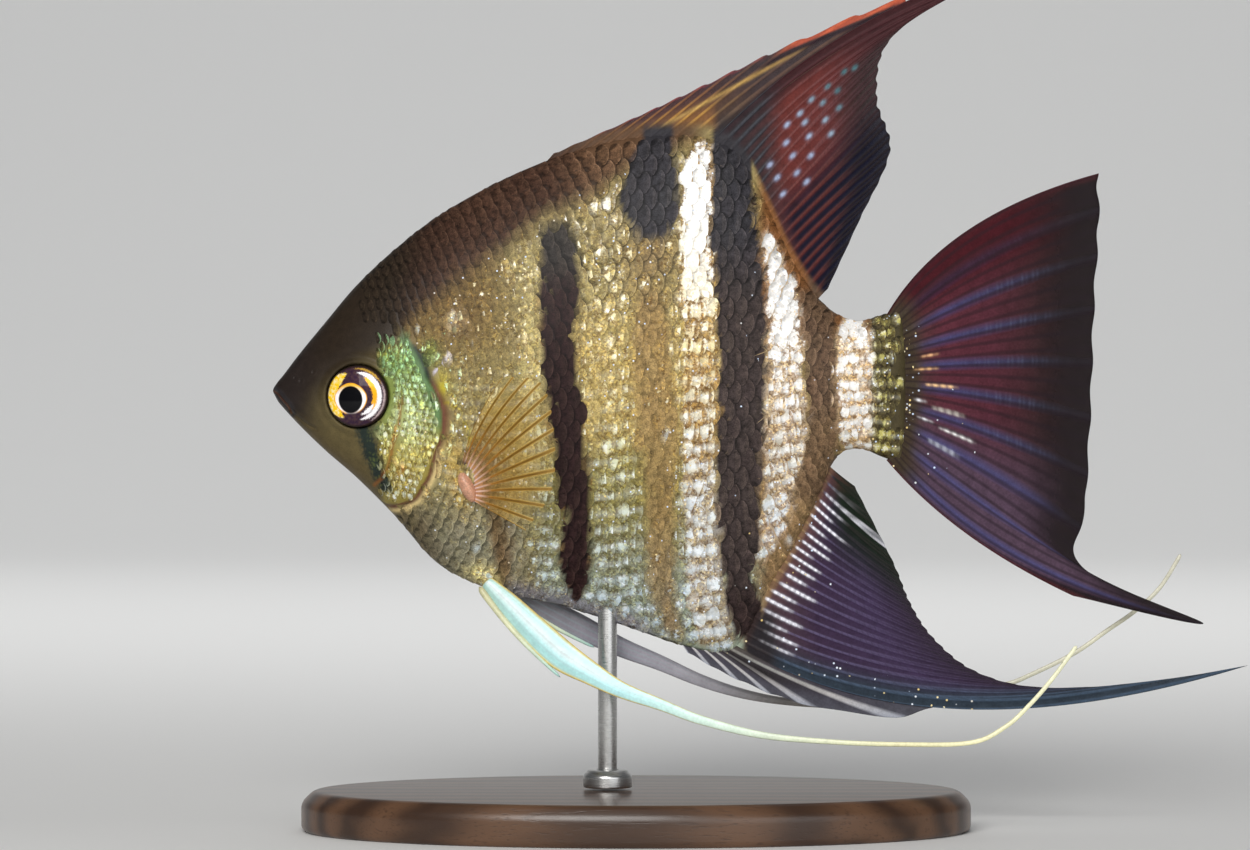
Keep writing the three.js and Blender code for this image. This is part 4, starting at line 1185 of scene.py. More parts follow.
# %% Both flanks and cheeks
for side, word in ((-1, "left"), (1, "right")):
    places = []
    for r in range(-18, 19):
        between = np.interp(np.arange(len(column_x)) + (r % 2) / 2, np.arange(len(column_x)), column_x)
        places.append(np.stack([between, np.full(len(between), float(r))], -1))
    places = np.concatenate(places)
    x = places[:, 0] + rng.normal(scale=0.05, size=len(places))
    g = places[:, 1] * ROW_APART * row_spread(x) + rng.normal(scale=0.05, size=len(places))
    slope = places[:, 1] * ROW_APART * (row_spread(x + 0.5) - row_spread(x - 0.5))
    low = np.interp(x, MAP_X, girth_low) + 0.4
    high = np.interp(x, MAP_X, girth_high) - 0.4
    z = section(x, angle_at(x, g))[1]
    gap = behind_gill(x, z)
    top_line = np.interp(x, [9.0, 12.0, 17.0, 20.0], [9.6, 8.0, 5.6, 3.0])
    on_nape = (z > top_line) & (x > 10.5)
    on_body = (gap > 0.55) & (x > 14.0)
    on_throat = (z < -15.6) & (x > 15.0)
    keep = (g > low) & (g < high) & (on_nape | on_body | on_throat) & (x < 75.9 + rng.random(len(x)))
    x, g, gap, slope, z = x[keep], g[keep], gap[keep], slope[keep], z[keep]
    size = SCALE_SIZE * row_spread(x) * np.interp(x, [10, 16, 24], [0.62, 0.86, 1.0])
    reach = np.where((z < 2.6) & (z > -14.5), np.clip((gap - 0.35) / 1.9, 0.1, 1.0), 1.0)
    lean = np.arctan(slope) + rng.normal(scale=0.05, size=len(x))
    lay_scales(f"scales_{word}", side, x, g, lean, size, reach, SCALE_LIFT, scale_finish)

    small = []
    for r in range(-20, 16):
        for c in range(0, 18):
            small.append((12.4 + (c + (r % 2) / 2) * CHEEK_COLUMN, r * CHEEK_ROW))
    small = np.array(small)
    x, g = small[:, 0] + rng.normal(scale=0.06, size=len(small)), small[:, 1]
    z = section(x, angle_at(x, g))[1]
    gap = behind_gill(x, z)
    fold_gap, _ = from_line(x, z, CHEEK_FOLD)
    from_eye = np.hypot(x - EYE_AT[0], z - EYE_AT[1])
    keep = (gap < -0.62) & (z < 6.0) & (z > -13.9) & (x > 13.0) & (x < 21.5) & (from_eye > 4.5)
    keep &= (fold_gap > 0.30) | (z > -2.0)
    x, g = x[keep], g[keep]
    size = np.full(len(x), CHEEK_SIZE)
    lean = rng.normal(scale=0.10, size=len(x))
    lay_scales(f"cheek_scales_{word}", side, x, g, lean, size, np.full(len(x), 0.6), 0.09,
               scale_finish, 1.08, 0.25, 0.42, 0.55, 0.34)
    print(f"{len(column_x)} columns, {len(x)} cheek scales")

# %% [markdown]
# ## Eyes
# An angelfish's eye is large and low-domed. The pupil sits a little forward and down. The iris is yellow
# in front, dark above and below, and silvery behind, with a pale gold ring right round the pupil. The
# eye is one closed ball. The pupil, ring and iris are drawn on it, and a clear coat keeps it wet.

# %% The eyes' finish
eye_finish, tree, shader = new_finish(
    "wet_eye", Roughness=0.34, IOR=1.38, Specular_IOR_Level=0.05, Coat_Weight=0.2, Coat_Roughness=0.02,
)
u, v, _ = tree.parts(tree.uv("EyeMap"))
wobble = tree.minus(tree.noise(tree.uv("EyeMap"), 9.0, 3.0), 0.5)


def oval(u, v, at, size):
    """The distance from an oval's middle, as a part of its size."""
    a = tree.math("DIVIDE", tree.minus(u, at[0]), size[0])
    b = tree.math("DIVIDE", tree.minus(v, at[1]), size[1])
    square = tree.plus(tree.times(a, a), tree.times(b, b))
    return tree.math("POWER", square, 0.5)


def arc(at, wide, start, end, behind=1.0):
    """A soft arc round the eye, behind the pupil (1) or before it (-1), its ends in degrees."""
    way = tree.math("ARCTAN2", v, tree.times(u, behind))
    off = tree.math("ABSOLUTE", tree.minus(reach, at))
    taper = tree.times(tree.remap(way, math.radians(start), math.radians(start + 26)),
                       tree.remap(way, math.radians(end), math.radians(end - 26)))
    width = tree.times(taper, wide)
    mask = tree.remap(tree.minus(off, width), 0.05, -0.06)
    return tree.times(mask, tree.remap(taper, 0.02, 0.25))


PUPIL = ((-0.64, -0.40), (1.46, 1.62))
to_rim = oval(u, v, (0.0, 0.0), (EYE_RADIUS, EYE_RADIUS))
to_pupil = oval(u, v, *PUPIL)
radius = tree.math("POWER", tree.plus(tree.times(u, u), tree.times(v, v)), 0.5)
reach = tree.plus(radius, tree.times(wobble, 0.7))
streaks = tree.noise(tree.uv("EyeMap"), 2.4, 4.0)
iris = tree.mix(tree.remap(streaks, 0.40, 0.65), (0.034, 0.015, 0.034, 1.0), (0.070, 0.036, 0.040, 1.0))
WHITE, ORANGE, YELLOW = (0.97, 0.93, 0.95, 1.0), (0.93, 0.42, 0.015, 1.0), (0.98, 0.62, 0.008, 1.0)
pale_gold = tree.mix(tree.remap(streaks, 0.45, 0.62), YELLOW, (0.99, 0.84, 0.45, 1.0))
iris = tree.mix(arc(3.36, 0.12, 22, 100), iris, (0.60, 0.36, 0.05, 1.0))
iris = tree.mix(arc(3.42, 0.13, -64, 34), iris, (0.46, 0.36, 0.36, 1.0))
iris = tree.mix(arc(2.44, 0.38, -46, 70), iris, ORANGE)
iris = tree.mix(arc(2.86, 0.24, -84, 92), iris, WHITE)
iris = tree.mix(arc(2.30, 0.26, -78, -18), iris, WHITE)
iris = tree.mix(arc(3.00, 0.62, -62, 70, -1.0), iris, pale_gold)
iris = tree.mix(arc(2.38, 0.22, -66, 20, -1.0), iris, ORANGE)
ring_width = tree.plus(1.10, tree.times(tree.remap(v, -1.9, -0.4), 0.20))
ring_width = tree.minus(ring_width, tree.times(tree.remap(v, 0.2, 1.4), 0.16))
near_pupil = tree.minus(to_pupil, ring_width)
fringe = tree.remap(near_pupil, 0.13, 0.07)
iris = tree.mix(tree.times(fringe, tree.remap(v, -2.1, -1.3)), iris, ORANGE)
ring = tree.times(tree.remap(near_pupil, 0.06, -0.01), tree.remap(v, -2.2, -1.5))
iris = tree.mix(ring, iris, tree.mix(tree.remap(v, 0.2, 1.3), WHITE, (0.85, 0.50, 0.06, 1.0)))
# A dark ring at the eye's edge: the eye's dark rim, with painted shade of the socket over it.
rim = tree.remap(to_rim, 0.925, 0.975)
iris = tree.mix(rim, iris, (0.026, 0.015, 0.012, 1.0))
pupil = tree.remap(to_pupil, 1.05, 0.98)
tree.feed(shader["Base Color"], tree.mix(pupil, iris, (0.003, 0.003, 0.004, 1.0)))
tree.feed(shader["Metallic"], tree.times(tree.minus(1.0, pupil), 0.12))
print("eye finish:", eye_finish.name)

# %% The eyes
EYE_SIZE = 3.75  # the ball's radius, seen from the side
EYE_DOME = 0.95  # how far it stands out of the head
EYE_BACK = 1.1  # how far it reaches in
EYE_RIM = 5.3  # from the plane of symmetry to the rim
EYE_TURN = 0.23  # how much it looks forward

for side, word in ((-1, "left"), (1, "right")):
    eye_mesh, ball = ball_mesh(f"eye_ball_{word}", 72, 40)
    depth = np.where(ball[:, 2] > 0, ball[:, 2] * EYE_DOME, ball[:, 2] * EYE_BACK)
    in_eye = ball[:, :2] * EYE_SIZE
    across = EYE_RIM + in_eye[:, 0] * EYE_TURN + depth
    eye_x = EYE_AT[0] + in_eye[:, 0] - depth * EYE_TURN
    points = np.stack([eye_x, side * across, EYE_AT[1] + in_eye[:, 1]], -1)
    store_uv(eye_mesh, "EyeMap", in_eye)
    set_corners(eye_mesh, points)
    close_up(eye_mesh, 1e-7)
    eye = add_piece(f"eye_ball_{word}", eye_mesh, eye_finish)
    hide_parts(f"eye_{word}")

# %% [markdown]
# ## Fins
# A fin is a sheet stretched over rays. Key rays say where some of its rays start and end, and at what
# angle they leave the body; the ones between follow smoothly. The sheet is a closed slab, thin between
# the rays, ridged along them, and thicker at the root, where it goes into the body.

# %% Fans of rays
RAY_BEND = 0.45  # where a ray's bend lies, as a part of its length
MEMBRANE = 0.05  # half the thickness of the web
RAY_RIDGE = 0.09  # how far a ray stands out of it on each side
ROOT_SWELL = 0.26  # how much thicker, on each side, a fin is at its root
DARKEST = 0.003  # no paint is darker


def ray_at(keys, number):
    """Root, tip and leaving angle of a ray, which needn't be a whole one."""
    keys = np.asarray(keys, float)
    t = np.interp(number, keys[:, 0], np.arange(len(keys)))
    row = smooth_rows(keys[:, 1:], t)
    return row[..., 0:2], row[..., 2:4], np.radians(row[..., 4])


def fan_point(keys, sideways, number, v):
    """The place on a fin's middle sheet, v of the way along a ray."""
    root, tip, leaves = ray_at(keys, number)
    length = np.hypot(*(tip - root).T)
    bend = root + (length * RAY_BEND)[:, None] * np.stack([np.cos(leaves), np.sin(leaves)], -1)
    w = v[:, None]
    point = root * (1 - w) ** 2 + bend * 2 * w * (1 - w) + tip * w**2
    return np.stack([point[:, 0], sideways(v, length), point[:, 1]], -1)


def fan_piece(name, keys, sideways, paint, finish, per_ray=8, rows=80, notch=0.0,
              branch=True, ray_share=1.0):
    """A fin from its keys. The paint function gives ray colour, web colour, clearness, and how many painted
    glints and specks it gets.
    """
    first, last = keys[0][0], keys[-1][0]
    mesh = as_mesh(grid_mesh(int((last - first) * per_ray), rows, slab=True), name)
    flat = corners(mesh)
    number = first + (flat[:, 0] + 0.5) * (last - first)
    v = flat[:, 1] + 0.5
    side = flat[:, 2] * 2 - 1
    counted = number * ray_share
    between = np.sin(math.pi * counted) ** 2
    reach = v * (1 - notch * between)
    points = fan_point(keys, sideways, number, reach)
    split = 0.19 * step(v, 0.42, 0.80) * branch
    off_ray = np.abs(np.abs((counted + 0.5) % 1 - 0.5) - split)
    ridge = step(off_ray, 0.24, 0.02) * (1 - 0.55 * v)
    points[:, 1] += side * (MEMBRANE + RAY_RIDGE * ridge + ROOT_SWELL * (1 - v) ** 3)
    ray, web, clear, spots = paint(points[:, 0], points[:, 2], number, v)
    for label, values, least in (("RayPaint", ray, DARKEST), ("WebPaint", web, DARKEST),
                                 ("Clear", clear, 0), ("GlintAndSpeckAmount", spots, 0)):
        store(mesh, label, np.clip(values, least, 1))
    store_uv(mesh, "FinMap", np.stack([counted / 10, v], -1))
    set_corners(mesh, points)
    return add_piece(name, mesh, finish)


# %% Paint and finish of the fins
def blend(t, *colours):
    """A colour for each place from evenly spaced colours, by t from 0 to 1."""
    colours = np.asarray(colours, float)
    at = np.clip(t, 0, 1) * (len(colours) - 1)
    i = np.minimum(at.astype(int), len(colours) - 2)
    f = (at - i)[:, None]
    return colours[i] * (1 - f) + colours[i + 1] * f


def over(base, colour, mask):
    """A colour laid over others, as strongly as the mask says."""
    return base + (np.asarray(colour) - base) * np.clip(mask, 0, 1)[:, None]


def over_both(ray, web, mask, ray_tint, web_tint):
    """The same for a fin's rays and web together, each with its own tint."""
    return over(ray, ray_tint, mask), over(web, web_tint, mask)


def fin_finish(name, roughness, branches, width, glint_and_speck_amount, taper=0.0, soft=1.45, strands=0.0):
    """A finish for a fin: rays and web painted apart, and clear where the web is thin."""
    material, tree, shader = new_finish(name, Roughness=roughness, IOR=1.38, Specular_IOR_Level=0.10)
    number, v, _ = tree.parts(tree.uv("FinMap"))
    number = tree.times(number, 10.0)
    phase = tree.math("FRACT", tree.plus(number, 0.5))
    off = tree.math("ABSOLUTE", tree.minus(phase, 0.5))
    if branches:
        split = tree.remap(v, 0.42, 0.80, 0.0, 0.19)
        off = tree.math("ABSOLUTE", tree.minus(off, split))
    if taper:
        off = tree.math("DIVIDE", off, tree.remap(v, 0.0, 1.0, 1.0, 1.0 - taper))
    on_ray = tree.remap(off, width * soft, width * (2.0 - soft))
    joints = tree.math("SINE", tree.times(v, 230.0))
    jointed = tree.times(tree.remap(joints, 0.3, 1.0, 0.0, 0.22 if branches else 0.0), on_ray)
    web = tree.pattern("Mottle", Colour=tree.attribute("WebPaint"),
                       Amount=0.25, Coarse=700.0, Fine=3500.0)
    ray = tree.pattern("Mottle", Colour=tree.attribute("RayPaint"),
                       Amount=0.22, Coarse=900.0, Fine=5000.0)
    colour = tree.mix(on_ray, web["Colour"], ray["Colour"])
    colour = tree.mix(jointed, colour, (0.02, 0.012, 0.014, 1.0))
    if strands:
        strand = tree.math("SINE", tree.times(number, 2 * math.pi * strands))
        strand = tree.remap(strand, 0.1, 1.0, 0.0, 0.55)
        colour = tree.mix(strand, colour, (0.014, 0.008, 0.012, 1.0))
    # Painted glints near the fins' roots, and a few bright specks on the anal fin.
    glints_and_specks = tree.pattern("GlintsAndSpecks", Colour=colour,
                           Amount=tree.times(tree.attribute("GlintAndSpeckAmount", "Fac"), glint_and_speck_amount), Size=2600.0)
    tree.feed(shader["Base Color"], glints_and_specks["Colour"])
    thin = tree.times(tree.attribute("Clear", "Fac"), tree.minus(1.0, on_ray))
    held = tree.times(tree.attribute("Clear", "Fac"), 0.35 if branches else 0.1)
    through = tree.math("MAXIMUM", thin, held)
    tree.feed(shader["Alpha"], tree.minus(1.0, through))
    tree.feed(shader["Normal"], tree.bump(web["Height"], 0.25, 0.00006))
    return material


spiny_finish = fin_finish("spiny_fin", 0.45, False, 0.14, 0.5)
soft_finish = fin_finish("soft_fin", 0.48, True, 0.12, 0.5)
tail_finish = fin_finish("tail_web", 0.48, False, 0.20, 0.5, 0.72, 1.8, 3.0)
clear_finish = fin_finish("clear_fin", 0.40, False, 0.19, 0.0, 0.5, 1.6)
print("fin finishes:", spiny_finish.name, soft_finish.name, tail_finish.name, clear_finish.name)

# %% [markdown]
# The dorsal fin starts with a dozen spines, each longer than the one before, joined by red-brown web.
# Behind them the soft rays sweep back to a long point. Pale spots lie in rows between the first soft
# rays, and the fin turns dark and then clear towards its rear edge.

# %% Dorsal fin
DORSAL_SPINES = [  # ray, root x and z, tip x and z, angle at which it leaves the body
    (0, 31.8, 25.6, 34.4, 28.4, 44), (3, 37.4, 27.6, 43.9, 32.6, 42), (6, 42.8, 28.8, 52.6, 36.7, 40),
    (9, 48.0, 29.4, 64.1, 42.2, 41), (11, 51.4, 29.2, 76.6, 47.4, 43), (12, 53.6, 28.2, 81.6, 47.6, 47),
]
DORSAL_RAYS = [
    (12, 52.8, 28.8, 112.4, 57.6, 48), (13, 54.0, 28.2, 93.0, 51.8, 50), (15, 56.0, 26.6, 81.7, 46.8, 51),
    (18, 57.8, 23.8, 75.3, 41.8, 53), (22, 59.6, 19.8, 74.1, 35.2, 48), (26, 61.4, 15.6, 75.7, 28.8, 48),
    (30, 63.6, 11.4, 71.9, 20.2, 54), (33, 65.4, 8.6, 68.0, 11.8, 60),
]
DORSAL_SPOTS = [
    (60.9, 27.0), (62.9, 29.7), (63.7, 28.1), (61.8, 25.4), (62.5, 23.4), (64.2, 26.0), (65.7, 30.5),
    (65.9, 28.1), (65.2, 32.2), (63.0, 31.9), (64.6, 33.3), (66.0, 35.0), (67.4, 34.6), (67.7, 32.5),
    (69.2, 36.1), (68.0, 36.6), (70.0, 38.4), (69.4, 34.0), (68.4, 30.8), (65.4, 24.9), (71.3, 38.9),
]


GOLD_BAND = [(43.0, 28.6), (47.0, 31.2), (53.0, 34.6), (59.5, 38.2), (66.0, 41.9)]
DORSAL_EDGE = [(58.0, 39.2), (61.0, 40.7), (64.1, 42.2), (70.4, 44.8), (76.6, 47.4), (84.0, 49.6)]


# %% Dorsal fin's paint
def body_edge(x, z, side):
    """The body's colour where a fin leaves it, above (side 1) or below (-1), and how strong it is."""
    edge = profile(np.clip(x, 0, TAIL_X))[0 if side > 0 else 1]
    out = (z - edge) * side
    ground = markings(x, edge + side * -0.4, 0.3)[:, :3]
    return ground, step(out, 1.9, 0.3)


def in_bar(x):
    return step(x, 53.6, 54.8) * step(x, 60.0, 58.0)


def dorsal_spine_paint(x, z, number, v):
    ray = blend(v, (0.46, 0.230, 0.060), (0.42, 0.220, 0.050), (0.22, 0.102, 0.040), (0.13, 0.044, 0.038))
    web = blend(v, (0.270, 0.120, 0.034), (0.19, 0.085, 0.030), (0.070, 0.030, 0.026), (0.040, 0.015, 0.022))
    grey = step(x, 50.0, 60.0)
    web = over(web, (0.040, 0.026, 0.028), grey)
    ray = over(ray, (0.090, 0.052, 0.040), grey)
    dark = in_bar(x) * step(z, 37.0, 31.0)
    ray, web = over_both(ray, web, dark, (0.042, 0.038, 0.042), (0.024, 0.021, 0.024))
    band = from_line(x, z, GOLD_BAND)[0]
    gold = bell(band, 0.24) * step(x, 67.0, 61.0)
    ray, web = over_both(ray, web, gold, (0.46, 0.29, 0.09), (0.36, 0.22, 0.07))
    edge = from_line(x, z, DORSAL_EDGE)[0]
    line = bell(edge - 1.0, 0.30) * step(x, 58.0, 62.0)
    ray, web = over_both(ray, web, line, (0.022, 0.010, 0.016), (0.020, 0.009, 0.014))
    red = step(edge, 0.78, 0.48) * step(x, 60.5, 65.0)
    ray, web = over_both(ray, web, red, (0.50, 0.105, 0.050), (0.42, 0.080, 0.040))
    tips = step(v, 0.90, 0.98) * step(x, 62.0, 58.0)
    ray, web = over(ray, (0.30, 0.070, 0.075), tips * 0.7), over(web, (0.16, 0.035, 0.045), tips * 0.6)
    body, foot = body_edge(x, z, 1)
    ray, web = over_both(ray, web, foot, body * 1.1, body)
    return ray, web, 0.04 + 0.10 * v, np.zeros(len(x))


def dorsal_ray_paint(x, z, number, v):
    t = (number - 12) / 21
    web = blend(v, (0.035, 0.025, 0.027), (0.115, 0.024, 0.020), (0.100, 0.022, 0.021), (0.04, 0.013, 0.016))
    ray = blend(v, (0.050, 0.032, 0.034), (0.150, 0.046, 0.042), (0.130, 0.042, 0.044), (0.045, 0.018, 0.022))
    upper = np.maximum(step(t, 0.12, 0.05), step(z, 37.0, 43.0))
    ray, web = over_both(ray, web, upper, (0.060, 0.020, 0.023), (0.040, 0.012, 0.014))
    rear = step(v, 0.55, 0.95) * step(t, 0.12, 0.3)
    ray, web = over_both(ray, web, rear, (0.042, 0.020, 0.023), (0.030, 0.016, 0.016))
    corner = step(t, 0.42, 0.60) * step(v, 0.10, 0.25)
    red_ray = (0.090, 0.022, 0.020)
    stripe = bell(number - np.rint(number), 0.22) * step(v, 0.85, 0.40)
    web, ray = over(web, (0.004, 0.004, 0.014), corner), over(ray, red_ray, corner * step(v, 0.9, 0.5))
    web = over(web, red_ray, corner * stripe)
    ray = over(ray, (0.010, 0.007, 0.010), corner * step(v, 0.42, 0.80))
    dark = step(x, 63.0, 59.5) * step(z, 20.0, 24.0)
    streak = 0.75 + 0.25 * np.cos(2 * math.pi * number)
    web = over(web, (0.022, 0.021, 0.025), dark * streak)
    ray = over(ray, (0.048, 0.050, 0.060), dark)
    body, foot = body_edge(x, z, 1)
    ray, web = over_both(ray, web, foot, body * 1.15, body)
    spots = np.zeros(len(x))
    for sx, sz in DORSAL_SPOTS:
        on = (x - sx) * 0.66 + (z - sz) * 0.75
        off = -(x - sx) * 0.75 + (z - sz) * 0.66
        spots = np.maximum(spots, bell(np.hypot(on / 0.42, off / 0.25), 1.0))
    outer = step(x * 0.75 + z * 0.66, 66.0, 77.0)
    pale = blend(outer, (0.31, 0.36, 0.52), (0.27, 0.34, 0.44), (0.06, 0.13, 0.15))
    for colours in (web, ray):
        colours += (pale - colours) * np.clip(spots * 1.35, 0, 1)[:, None]
    clear = step(v, 0.80, 1.0) * step(t, 0.05, 0.25)
    return ray, web, 0.02 + 0.16 * clear, np.zeros(len(x))


# %% Dorsal fin's two sheets
dorsal_side = lambda v, length: 0.012 * length * v**2
fan_piece("dorsal_spines", DORSAL_SPINES, dorsal_side, dorsal_spine_paint, spiny_finish,
          notch=0.06, branch=False)
rays = fan_piece("dorsal_soft_rays", DORSAL_RAYS, dorsal_side, dorsal_ray_paint, soft_finish,
                 per_ray=10, rows=120, notch=0.012)
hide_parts("dorsal_fin")

# %% [markdown]
# The anal fin mirrors the dorsal, with fewer spines. Silvery streaks run out from the belly over its
# dark violet web, its front spine shines, and small teal specks lie near its lower edge.

# %% Anal fin
ANAL_SPINES = [
    (0, 47.4, -29.6, 50.8, -32.8, -24), (2, 49.8, -30.4, 56.6, -36.0, -28),
    (4, 52.2, -30.8, 65.1, -39.2, -30), (5, 53.4, -30.8, 76.4, -40.8, -31),
    (6, 55.2, -29.8, 84.4, -38.9, -34),
]
ANAL_RAYS = [
    (6, 54.6, -30.5, 119.6, -34.4, -34), (7, 55.6, -30.0, 105.0, -36.6, -33),
    (9, 57.0, -28.4, 93.5, -37.0, -30), (12, 58.8, -25.2, 86.0, -35.0, -30),
    (16, 61.2, -20.6, 81.0, -31.0, -34), (20, 63.2, -16.4, 78.2, -26.8, -40),
    (24, 64.9, -12.0, 76.0, -21.6, -46), (28, 66.6, -8.4, 71.3, -12.4, -46),
]


# %% Anal fin's paint
def anal_spine_paint(x, z, number, v):
    ray = blend(v, (0.16, 0.14, 0.11), (0.42, 0.42, 0.40), (0.52, 0.50, 0.50), (0.34, 0.36, 0.42))
    web = blend(v, (0.10, 0.085, 0.06), (0.075, 0.065, 0.075), (0.06, 0.055, 0.075), (0.08, 0.08, 0.10))
    dark = bell(number - 4.2, 0.8) * step(v, 0.9, 0.5)
    web, ray = over(web, (0.022, 0.018, 0.020), dark), over(ray, (0.040, 0.032, 0.034), dark * 0.8)
    return ray, web, 0.04 + 0.06 * v, 0.12 * step(v, 0.6, 0.1)


def anal_ray_paint(x, z, number, v):
    t = (number - 6) / 22
    web = blend(v, (0.090, 0.052, 0.050), (0.038, 0.021, 0.048), (0.042, 0.026, 0.064), (0.022, 0.013, 0.024))
    ray = blend(v, (0.11, 0.08, 0.12), (0.095, 0.075, 0.145), (0.065, 0.046, 0.10), (0.028, 0.018, 0.030))
    low = step(t, 0.16, 0.02)
    ray, web = over_both(ray, web, low, (0.052, 0.082, 0.125), (0.026, 0.038, 0.054))
    rear = step(t, 0.50, 0.85) * step(v, 0.2, 0.55)
    ray, web = over_both(ray, web, rear, (0.014, 0.016, 0.011), (0.006, 0.012, 0.006))
    dark = step(x, 63.0, 60.5) * step(z, -26.5, -29.0)
    ray, web = over_both(ray, web, dark, (0.040, 0.034, 0.036), (0.020, 0.017, 0.020))
    body, foot = body_edge(x, z, -1)
    ray, web = over_both(ray, web, foot, body * 1.2, body)
    out = (profile(np.clip(x, 0, TAIL_X))[1] - z) * 1.15
    whole = np.rint(number)
    start = 1.3 + 0.9 * np.sin(whole * 5.1) + 3.0 * step(t, 0.30, 0.10)
    stop = start + 10.5 + 3.0 * np.sin(whole * 2.3 + 1.0)
    streak = step(out, start - 0.6, start + 0.6) * step(out, stop, stop - 4.5)
    streak = streak * step(t, 0.04, 0.12) * step(t, 0.94, 0.78) * (1 - dark * 0.8)
    beads = 0.72 + 0.28 * np.sin(out * 3.2 + whole * 2.0)
    near = bell(number - whole, 0.15) * beads
    web = over(web, (0.78, 0.80, 0.92), streak * near * 1.1)
    ray = over(ray, (0.92, 0.92, 1.0), streak * beads * 1.25)
    reddish = step(out, 7.0, 1.5) * step(t, 0.2, 0.4) * 0.5
    web = over(web, (0.120, 0.050, 0.045), reddish * (1 - streak * near))
    clear = 0.03 + 0.10 * step(v, 0.78, 1.0)
    return ray, web, clear, 0.08 * step(v, 0.5, 0.1) + 0.22 * low * step(v, 0.15, 0.3) * step(v, 0.7, 0.5)


# %% Anal fin's two sheets
anal_side = lambda v, length: 0.01 * length * v**2
fan_piece("anal_spines", ANAL_SPINES, anal_side, anal_spine_paint, spiny_finish,
          notch=0.035, branch=False)
rays = fan_piece("anal_soft_rays", ANAL_RAYS, anal_side, anal_ray_paint, soft_finish,
                 per_ray=10, rows=110, notch=0.012)
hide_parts("anal_fin")

# %% [markdown]
# The tail is a broad fan with a longer ray at its lower corner. Its web is dark red at the root and
# clear at the rear, and its rays are violet.

# %% Tail
TAIL_KEYS = [
    (0, 75.2, 8.6, 101.3, 26.0, 60), (2, 76.4, 7.2, 101.4, 20.2, 42), (5, 76.6, 4.0, 100.8, 9.4, 17),
    (8, 76.6, 0.4, 100.4, -2.6, -2), (11, 76.6, -3.6, 99.8, -14.6, -20), (13, 76.6, -6.4, 99.4, -22.4, -36),
    (15, 76.0, -8.4, 114.2, -29.3, -50), (16, 75.2, -9.2, 98.4, -26.0, -50),
]


TAIL_GLINTS = [  # ray number, where it starts and ends along the ray, and its tint
    (5.9, 0.14, 0.24, (0.90, 0.50, 0.25)), (6.9, 0.10, 0.24, (0.95, 0.55, 0.25)),
    (8.1, 0.16, 0.34, (0.95, 0.60, 0.30)), (9.3, 0.10, 0.17, (0.95, 0.95, 1.0)),
    (9.6, 0.20, 0.38, (0.98, 0.90, 0.80)), (10.6, 0.12, 0.21, (0.95, 0.95, 1.0)),
    (10.8, 0.24, 0.44, (0.95, 0.93, 0.92)), (11.8, 0.18, 0.36, (0.80, 0.84, 1.0)),
]


def tail_paint(x, z, number, v):
    t = number / 16
    web = blend(v, (0.060, 0.034, 0.028), (0.085, 0.019, 0.030), (0.072, 0.017, 0.027), (0.036, 0.014, 0.016),
                (0.015, 0.008, 0.009))
    ray = blend(v, (0.055, 0.035, 0.035), (0.052, 0.044, 0.120), (0.042, 0.036, 0.088), (0.026, 0.024, 0.042),
                (0.018, 0.014, 0.018))
    dashes = step(np.sin(v * 260.0 + 3.0 * np.rint(number * 0.6)), 0.2, 0.9) * bell(v - 0.62, 0.26)
    ray = over(ray, (0.110, 0.120, 0.190), dashes * 0.28)
    top = step(t, 0.24, 0.06)
    ray, web = over_both(ray, web, top, (0.034, 0.008, 0.016), (0.050, 0.005, 0.009))
    low = step(t, 0.55, 0.80)
    ray, web = over_both(ray, web, low, (0.064, 0.056, 0.140), (0.074, 0.044, 0.070))
    rear = step(v, 0.62, 0.95)
    ray, web = over_both(ray, web, rear, (0.018, 0.014, 0.018), (0.013, 0.008, 0.009))
    root = step(v, 0.17, 0.04 + 0.05 * bell(z, 6.0))
    ray, web = over_both(ray, web, root, (0.050, 0.036, 0.022), (0.045, 0.030, 0.018))
    edge = np.maximum(step(t, 0.035, 0.0), step(t, 0.975, 1.0))
    ray, web = over_both(ray, web, edge, (0.060, 0.013, 0.016), (0.060, 0.013, 0.016))
    for at, start, end, tint in TAIL_GLINTS:
        on = bell(number - at, 0.10) * step(v, start - 0.02, start + 0.02) * step(v, end, end - 0.06)
        on = on * (0.65 + 0.35 * np.sin(v * 150.0 + at))
        ray, web = over_both(ray, web, on, tint, tint)
    clear = 0.02 + 0.07 * step(v, 0.70, 1.0)
    # Painted glints near the tail's root.
    root_glints = 0.85 * step(v, 0.15, 0.02) * step(np.abs(z - 0.5) / 9.0, 0.9, 0.5)
    root_glints = root_glints + 0.05 * step(t, 0.35, 0.6) * step(v, 0.5, 0.2)
    return ray, web, clear, root_glints


tail_side = lambda v, length: 0.03 * length * v**2
tail = fan_piece("tail_fan", TAIL_KEYS, tail_side, tail_paint, tail_finish,
                 per_ray=20, rows=100, notch=0.01, branch=False, ray_share=0.6)
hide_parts("tail_fin")

# %% [markdown]
# A pectoral fin stands out from each flank behind the gill opening, on a small fleshy base. It is clear
# with golden-brown rays, pink where they start.

# %% Pectoral fins
PECTORAL_KEYS = [
    (0, 23.2, -10.6, 28.4, 0.9, 80), (2, 23.9, -11.1, 33.0, 0.2, 60), (4, 24.5, -12.0, 34.6, -5.4, 36),
    (6, 24.8, -13.0, 34.4, -12.6, 6), (8, 24.6, -14.0, 31.2, -17.6, -28),
]
PECTORAL_ROOT = (24.2, -12.4)
PECTORAL_FLARE = 4.4
PAD = (0.85, 0.9, 2.0)  # half its width, thickness and length
PAD_LEAN = -24


